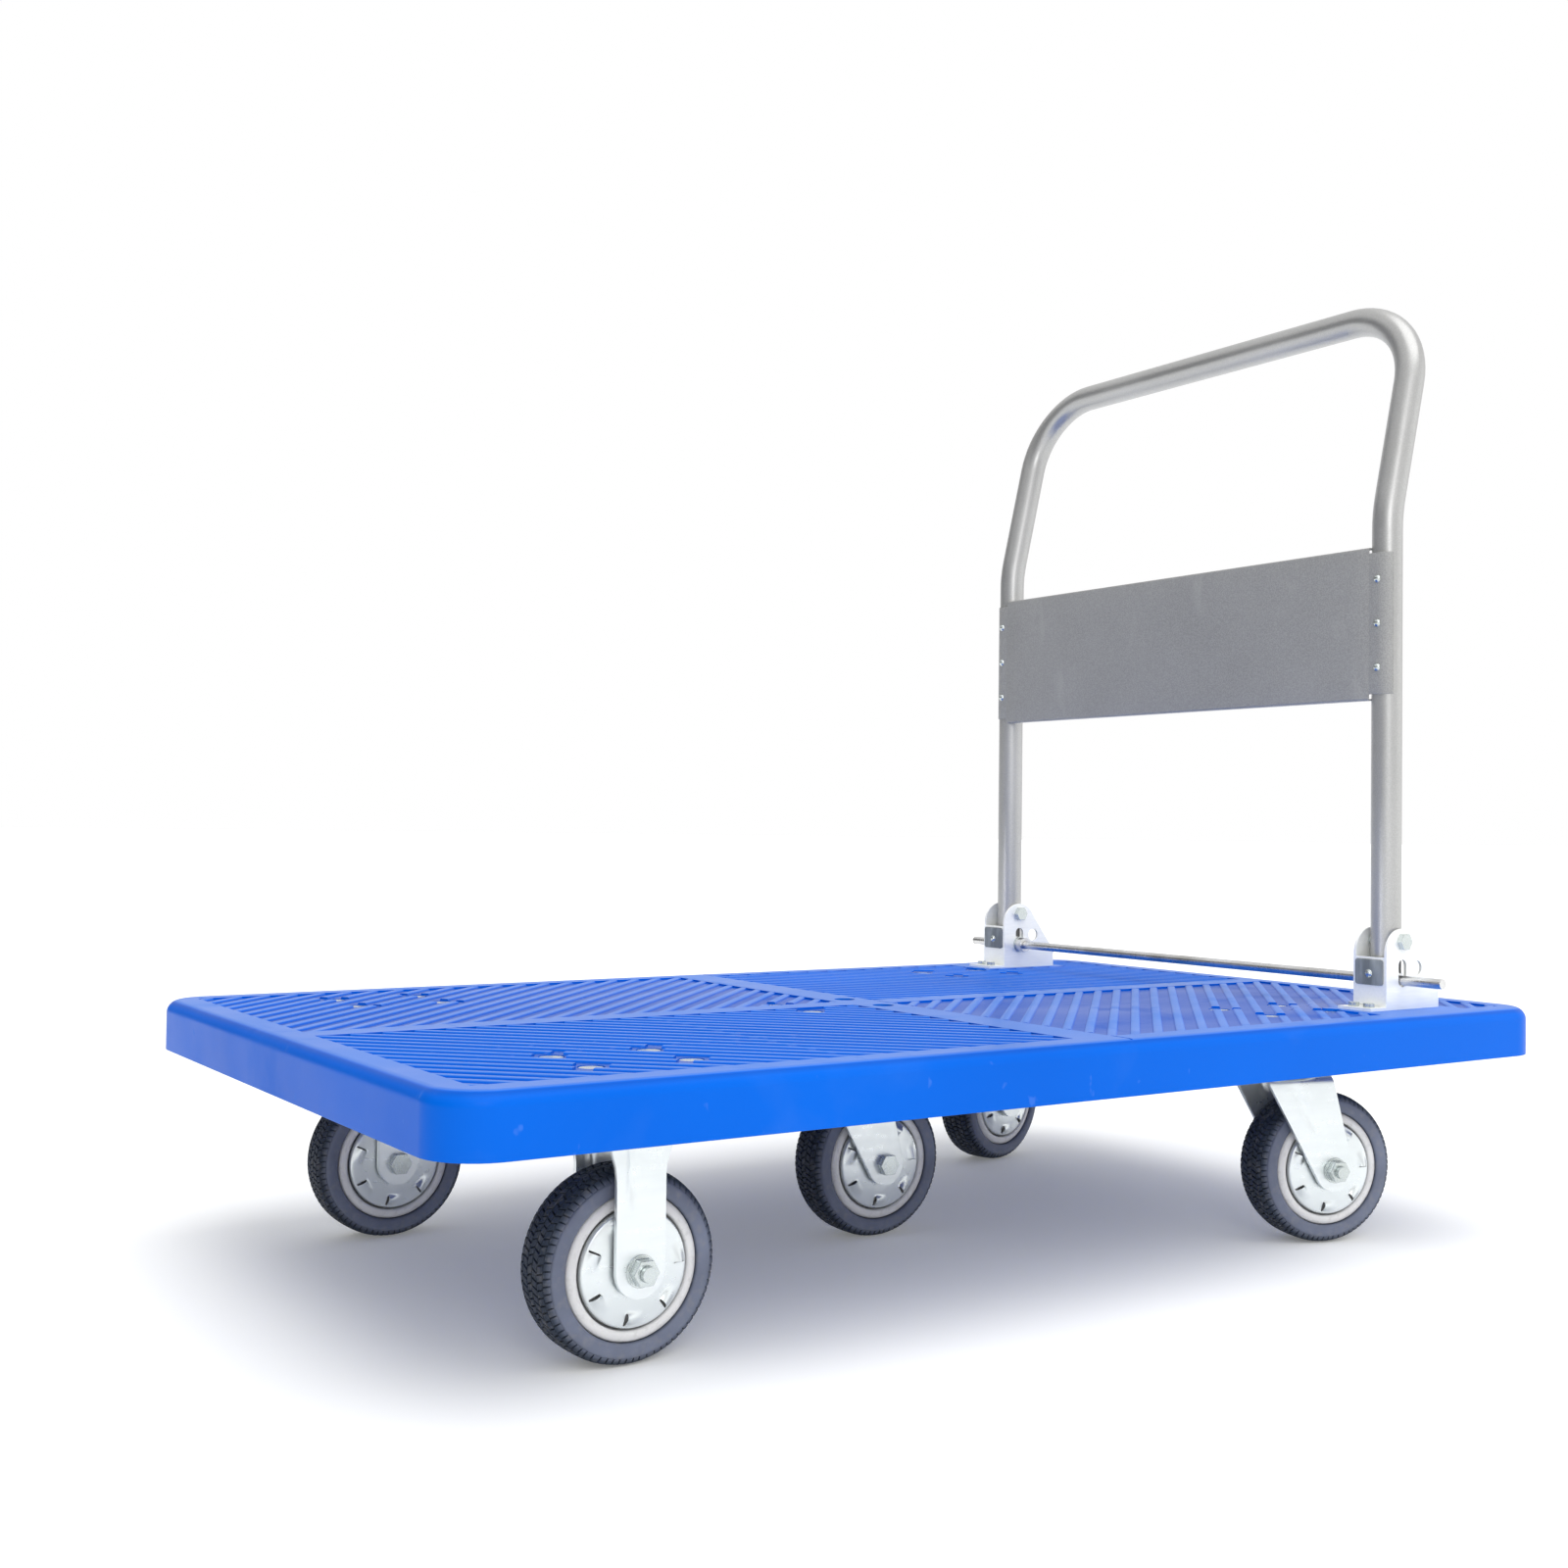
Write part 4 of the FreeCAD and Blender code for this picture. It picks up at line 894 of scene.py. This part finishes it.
def swivel_dent(x, z):
    """A pressed groove that follows the slant of the leg."""
    line = between(z, AXLE_HIGH, CROWN_HIGH, TRAIL - 4, -4)
    across = math.exp(-((x - line) / 3.4) ** 2)
    along = between(z, 112, 128, 0, 1) * between(z, 152, 161, 1, 0)
    return 2.0 * across * along


def make_forks():
    """Pressed forks of the five casters, and their top plates."""
    fixed, swivel = Shape(), Shape()
    for side in (-1, 1):
        fixed.take(fork_strip(side, PLATE_LOW, 7.0, fixed_edges, fixed_dent))
        swivel.take(fork_strip(side, CROWN_HIGH, SWIVEL_BEND, swivel_edges, swivel_dent))
    fixed_mesh = finished_mesh("fixed_fork_mesh", fixed, bevel=0.7, sharp=50, merge=2e-5)
    swivel_mesh = finished_mesh("swivel_fork_mesh", swivel, bevel=0.7, sharp=50, merge=2e-5)
    plate_mesh = finished_mesh("plate_mesh", plate_shape(), bevel=0.8, sharp=50)
    for name in FIXED + SWIVEL:
        spot = caster_place(name) * MM
        place = turned_place(spot, wheel_axis(name))
        if name in FIXED:
            piece(name + "_fork_piece", fixed_mesh, "deck", "caster_zinc", [name + "_fork"], place)
            piece(name + "_top_plate_piece", plate_mesh, "deck", "caster_zinc", (), place)
        else:
            piece(name + "_fork_piece", swivel_mesh, name + "_yoke", "caster_zinc", [name + "_fork"], place)
            piece(name + "_plate_piece", plate_mesh, "deck", "caster_zinc", (),
                  turned_place(spot, Vector((0, 1, 0))))


def rounded_plate(wide, high, corner, steps=5):
    """Outline points of a plate with round corners, about its middle."""
    outline = []
    for quarter, (sx, sy) in enumerate(((1, 1), (-1, 1), (-1, -1), (1, -1))):
        for step in range(steps + 1):
            angle = math.pi / 2 * (quarter + step / steps)
            outline.append((sx * (wide / 2 - corner) + corner * math.cos(angle),
                            sy * (high / 2 - corner) + corner * math.sin(angle)))
    return outline


def plate_shape():
    """Caster top plate with round corners."""
    outline = rounded_plate(110.0, 90.0, 9.0, 6)
    shape = Shape()
    low = [(x, y, PLATE_LOW + 0.1) for x, y in outline]
    high = [(x, y, PLATE_LOW + 4.9) for x, y in outline]
    shape.grid([low, high], close_columns=True)
    shape.polygon(low, flip=True)
    shape.polygon(high)
    return shape


# ------------------------------------------------------------------ handle panel

PANEL_THICK = 1.5
PANEL_HALF = 279.0   # half width of the flat sheet between the tubes
TAB_INSET = 6.0      # the tabs end this far from the sheet's top and bottom
HEM_FOLD = 2.2       # outside radius of the folds


def tab_line(front, tube_x, tube_y):
    """Points (x, y) of a tab's outer surface, from the panel's edge round the tube."""
    wrap = tube_x - front
    line = [(front, PANEL_HALF - 4), (front, PANEL_HALF), (front - 0.1, PANEL_HALF + 4)]
    for step in range(9):
        angle = math.radians(-6 + 68 * step / 8)
        line.append((tube_x - wrap * math.cos(angle), tube_y + wrap * math.sin(angle)))
    return line


def sheet(rows_out, rows_in):
    """A sheet's two faces, closed along its four edges."""
    shape = Shape()
    shape.grid(rows_out)
    shape.grid(rows_in, flip=True)
    for end in (0, -1):
        shape.grid([rows_out[end], rows_in[end]])
    for end in (0, -1):
        shape.grid([[row[end] for row in rows_out], [row[end] for row in rows_in]])
    return shape


def make_panel():
    """Sheet panel with folded edges and end tabs that saddle over the tubes."""
    low, high = box_mm("handle_panel")
    front = low.x
    tube_x = JOINTS["handle_fold"]["pos_m"][0] / MM
    tube_y = box_mm("panel_rivets")[1].y - 4.5
    hem = high.x - front - 0.4

    # main sheet: section from the top hem, round its fold, down the face and round the lower fold
    section = [(front + hem, high.z, 0, 1)]
    for step in range(5):
        angle = math.pi / 2 * step / 4
        section.append((front + HEM_FOLD - HEM_FOLD * math.sin(angle),
                        high.z - HEM_FOLD + HEM_FOLD * math.cos(angle), -math.sin(angle), math.cos(angle)))
    for step in range(1, 8):
        section.append((front, between(step, 0, 8, high.z - HEM_FOLD, low.z + HEM_FOLD), -1, 0))
    for step in range(5):
        angle = math.pi / 2 * step / 4
        section.append((front + HEM_FOLD - HEM_FOLD * math.cos(angle),
                        low.z + HEM_FOLD - HEM_FOLD * math.sin(angle), -math.cos(angle), -math.sin(angle)))
    section.append((front + hem, low.z, 0, -1))
    outside, inside = [], []
    for step in range(25):
        y = -PANEL_HALF + 2 * PANEL_HALF * step / 24
        outside.append([(x, y, z) for x, z, nx, nz in section])
        inside.append([(x - nx * PANEL_THICK, y, z - nz * PANEL_THICK) for x, z, nx, nz in section])
    shape = sheet(outside, inside)
    # tabs: a little lower than the sheet, wrapped round the tubes
    tab_high, tab_low = high.z - TAB_INSET, low.z + TAB_INSET
    heights = [tab_high, tab_high - 20, (high.z + low.z) / 2, tab_low + 20, tab_low]
    line = tab_line(front, tube_x, tube_y)
    for side in (-1, 1):
        outside, inside = [], []
        for spot, (x, y) in enumerate(line):
            before = line[max(0, spot - 1)]
            after = line[min(len(line) - 1, spot + 1)]
            along = Vector((after[0] - before[0], after[1] - before[1])).normalized()
            inward = Vector((along.y, -along.x)) * PANEL_THICK
            lifted = 0.25 if spot < 2 else 0.0   # hides the tab's start inside the sheet
            outside.append([(x + lifted, side * y, z) for z in heights])
            inside.append([(x + inward.x, side * (y + inward.y), z) for z in heights])
        shape.take(sheet(outside, inside))
    mesh = finished_mesh("panel_mesh", shape, bevel=0.35, sharp=50)
    piece("handle_panel_piece", mesh, "handle", "panel_paint", ["handle_panel"])


# ------------------------------------------------------------------ stop pads

def make_stop_pads():
    """Rubber pads that wrap the upper edge of each bracket's web, each held by a domed rivet."""
    low, high = box_mm("stop_pads")
    bracket_low, bracket_high = box_mm("handle_bracket_right")
    middle_y = (bracket_low.y + bracket_high.y) / 2
    middle_z = (low.z + high.z) / 2
    front = low.x
    dome = [(0.01, 1.9), (1.6, 1.8), (3.0, 1.3), (4.0, 0.5), (4.3, 0.0), (4.3, -3.0), (0.01, -3.0)]
    button = spin(dome, 20, "Z")
    pad = Shape()
    rivet = Shape()
    for side in (-1, 1):
        y_mid = side * middle_y
        # one lip of the pad before the web, and a narrower one behind it
        for start, end, wide in ((front, front + 2.2, 33.0), (front + 5.3, high.x, 31.5)):
            outline = rounded_plate(wide, high.z - low.z, 3.0)
            near = [(start, y_mid + y, middle_z + z) for y, z in outline]
            far = [(end, y_mid + y, middle_z + z) for y, z in outline]
            pad.grid([near, far], close_columns=True)
            pad.polygon(near)
            pad.polygon(far, flip=True)
        spot = Matrix.Translation((front + 0.1, y_mid, middle_z - 1.5))
        rivet.take(button.moved(spot @ Matrix.Rotation(math.radians(-90), 4, "Y")))
    piece("stop_pads_piece", finished_mesh("stop_pad_mesh", pad, bevel=0.6, sharp=50), "deck",
          "stop_rubber", ["stop_pads"])
    piece("stop_pad_rivets", finished_mesh("stop_rivet_mesh", rivet, sharp=50), "deck", "fastener_zinc")


# ------------------------------------------------------------------ studio

FLOOR_GLOW = 0.15
SKY = 0.9
CAMERA_SPOT = (-1.0570, -1.4372, 0.4102)
CAMERA_YAW, CAMERA_PITCH, CAMERA_ROLL = 33.69, 1.33, 0.68
CAMERA_LENS = 40.38
LEFT_OF_VIEW = (-math.cos(math.radians(CAMERA_YAW)), math.sin(math.radians(CAMERA_YAW)), 0.0)


def make_studio():
    """Pale floor, a sky that is dimmer to the sides, a soft sun, a front light and bracket kickers."""
    shape = Shape()
    steps = 96
    radii = (1.0, 900.0, 2500.0, 9000.0, 60000.0)
    rows = []
    for step in range(steps):
        angle = 2 * math.pi * step / steps
        rows.append([(radius * math.cos(angle), radius * math.sin(angle), 0.0) for radius in radii])
    shape.grid(rows, close_rows=True)
    mesh = finished_mesh("studio_floor_mesh", shape)
    floor = bpy.data.objects.new("studio_floor", mesh)
    bpy.context.scene.collection.objects.link(floor)
    mesh.materials.append(studio_look())

    world = bpy.data.worlds.new("studio_world")
    bpy.context.scene.world = world
    world.use_nodes = True
    tree = world.node_tree
    way = tree.nodes.new("ShaderNodeTexCoord").outputs["Generated"]
    side = tree.nodes.new("ShaderNodeVectorMath")
    side.operation = "DOT_PRODUCT"
    tree.links.new(way, side.inputs[0])
    side.inputs[1].default_value = LEFT_OF_VIEW

    def ramp(value, low, high, start, end):
        made = tree.nodes.new("ShaderNodeMapRange")
        made.interpolation_type = "SMOOTHSTEP"
        tree.links.new(value, made.inputs["Value"])
        for name, number in (("From Min", low), ("From Max", high), ("To Min", start), ("To Max", end)):
            made.inputs[name].default_value = number
        return made.outputs["Result"]

    def combine(kind, first, second):
        made = tree.nodes.new("ShaderNodeMath")
        made.operation = kind
        for socket, value in zip(made.inputs, (first, second)):
            feed(tree, value, socket)
        return made.outputs[0]

    split = tree.nodes.new("ShaderNodeSeparateXYZ")
    tree.links.new(way, split.inputs[0])
    dim = combine("MULTIPLY", ramp(side.outputs["Value"], 0.3, 0.8, 1.0, 0.15),
                  ramp(side.outputs["Value"], -0.99, -0.8, 1.5, 1.0))
    lit = combine("MAXIMUM", dim, ramp(split.outputs["Z"], 0.35, 0.65, 0.0, 1.0))
    # rays from the camera see plain white
    seen = tree.nodes.new("ShaderNodeLightPath").outputs["Is Camera Ray"]
    strength = combine("MAXIMUM", combine("MULTIPLY", lit, SKY), seen)
    sky = tree.nodes["Background"]
    sky.inputs["Color"].default_value = (1.0, 1.0, 1.0, 1.0)
    tree.links.new(strength, sky.inputs["Strength"])

    aim = Vector((0.0, 0.0, 0.3))
    sun = bpy.data.lights.new("sun", "SUN")
    sun.energy = 1.4
    sun.angle = math.radians(60)
    place_light("sun", sun, (0.1, -1.0, 3.0), aim)
    front = bpy.data.lights.new("front_light", "AREA")
    front.size = 1.0
    front.energy = 14
    place_light("front_light", front, (-1.3, -2.6, 1.6), aim)
    for name in ("handle_bracket_left", "handle_bracket_right"):
        low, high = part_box(name)
        bracket = (low + high) / 2
        kicker = bpy.data.lights.new(name + "_kicker", "SPOT")
        kicker.energy = 45
        kicker.spot_size = math.radians(8)
        kicker.spot_blend = 1.0
        kicker.shadow_soft_size = 0.1
        place_light(name + "_kicker", kicker, bracket + Vector((-1.3, 0, 0.3)), bracket)


def place_light(name, light, spot, aim):
    """Stand a light at a spot, turned to the aim."""
    lamp = bpy.data.objects.new(name, light)
    bpy.context.scene.collection.objects.link(lamp)
    lamp.location = spot
    lamp.rotation_euler = (aim - Vector(spot)).to_track_quat("-Z", "Y").to_euler()


def make_camera():
    """Low three-quarter view over the left end of the deck."""
    yaw, pitch, roll = (math.radians(value) for value in (CAMERA_YAW, CAMERA_PITCH, CAMERA_ROLL))
    ahead = Vector((math.sin(yaw) * math.cos(pitch), math.cos(yaw) * math.cos(pitch), math.sin(pitch)))
    level = Vector((math.cos(yaw), -math.sin(yaw), 0))
    up = level.cross(ahead)
    across = level * math.cos(roll) + up * math.sin(roll)
    top = up * math.cos(roll) - level * math.sin(roll)
    data = bpy.data.cameras.new("camera")
    data.lens = CAMERA_LENS
    data.sensor_width = 36
    camera = bpy.data.objects.new("camera", data)
    bpy.context.scene.collection.objects.link(camera)
    turn = Matrix((across, top, -ahead)).transposed().to_4x4()
    camera.matrix_world = Matrix.Translation(CAMERA_SPOT) @ turn
    bpy.context.scene.camera = camera


dress_cad_nodes()
make_ribs()
make_wheels()
make_forks()
make_panel()
for name in ("handle_bracket_left", "handle_bracket_right"):
    softened(name, 0.8)
for name in ("caster_bolts", "caster_nuts", "bracket_bolts", "handle_pivot_bolts",
             "handle_pivot_nuts", "fixed_axle_bolts", "fixed_axle_nuts", "locking_rod", "rod_collars"):
    softened(name, 0.5)
make_stop_pads()
for name in SWIVEL:
    softened(name + "_axle_bolt", 0.5)
    softened(name + "_axle_nut", 0.5)
softened("deck_platform", 0.7, sharp=60.0)
make_studio()
make_camera()
bpy.context.scene.view_settings.view_transform = "Standard"
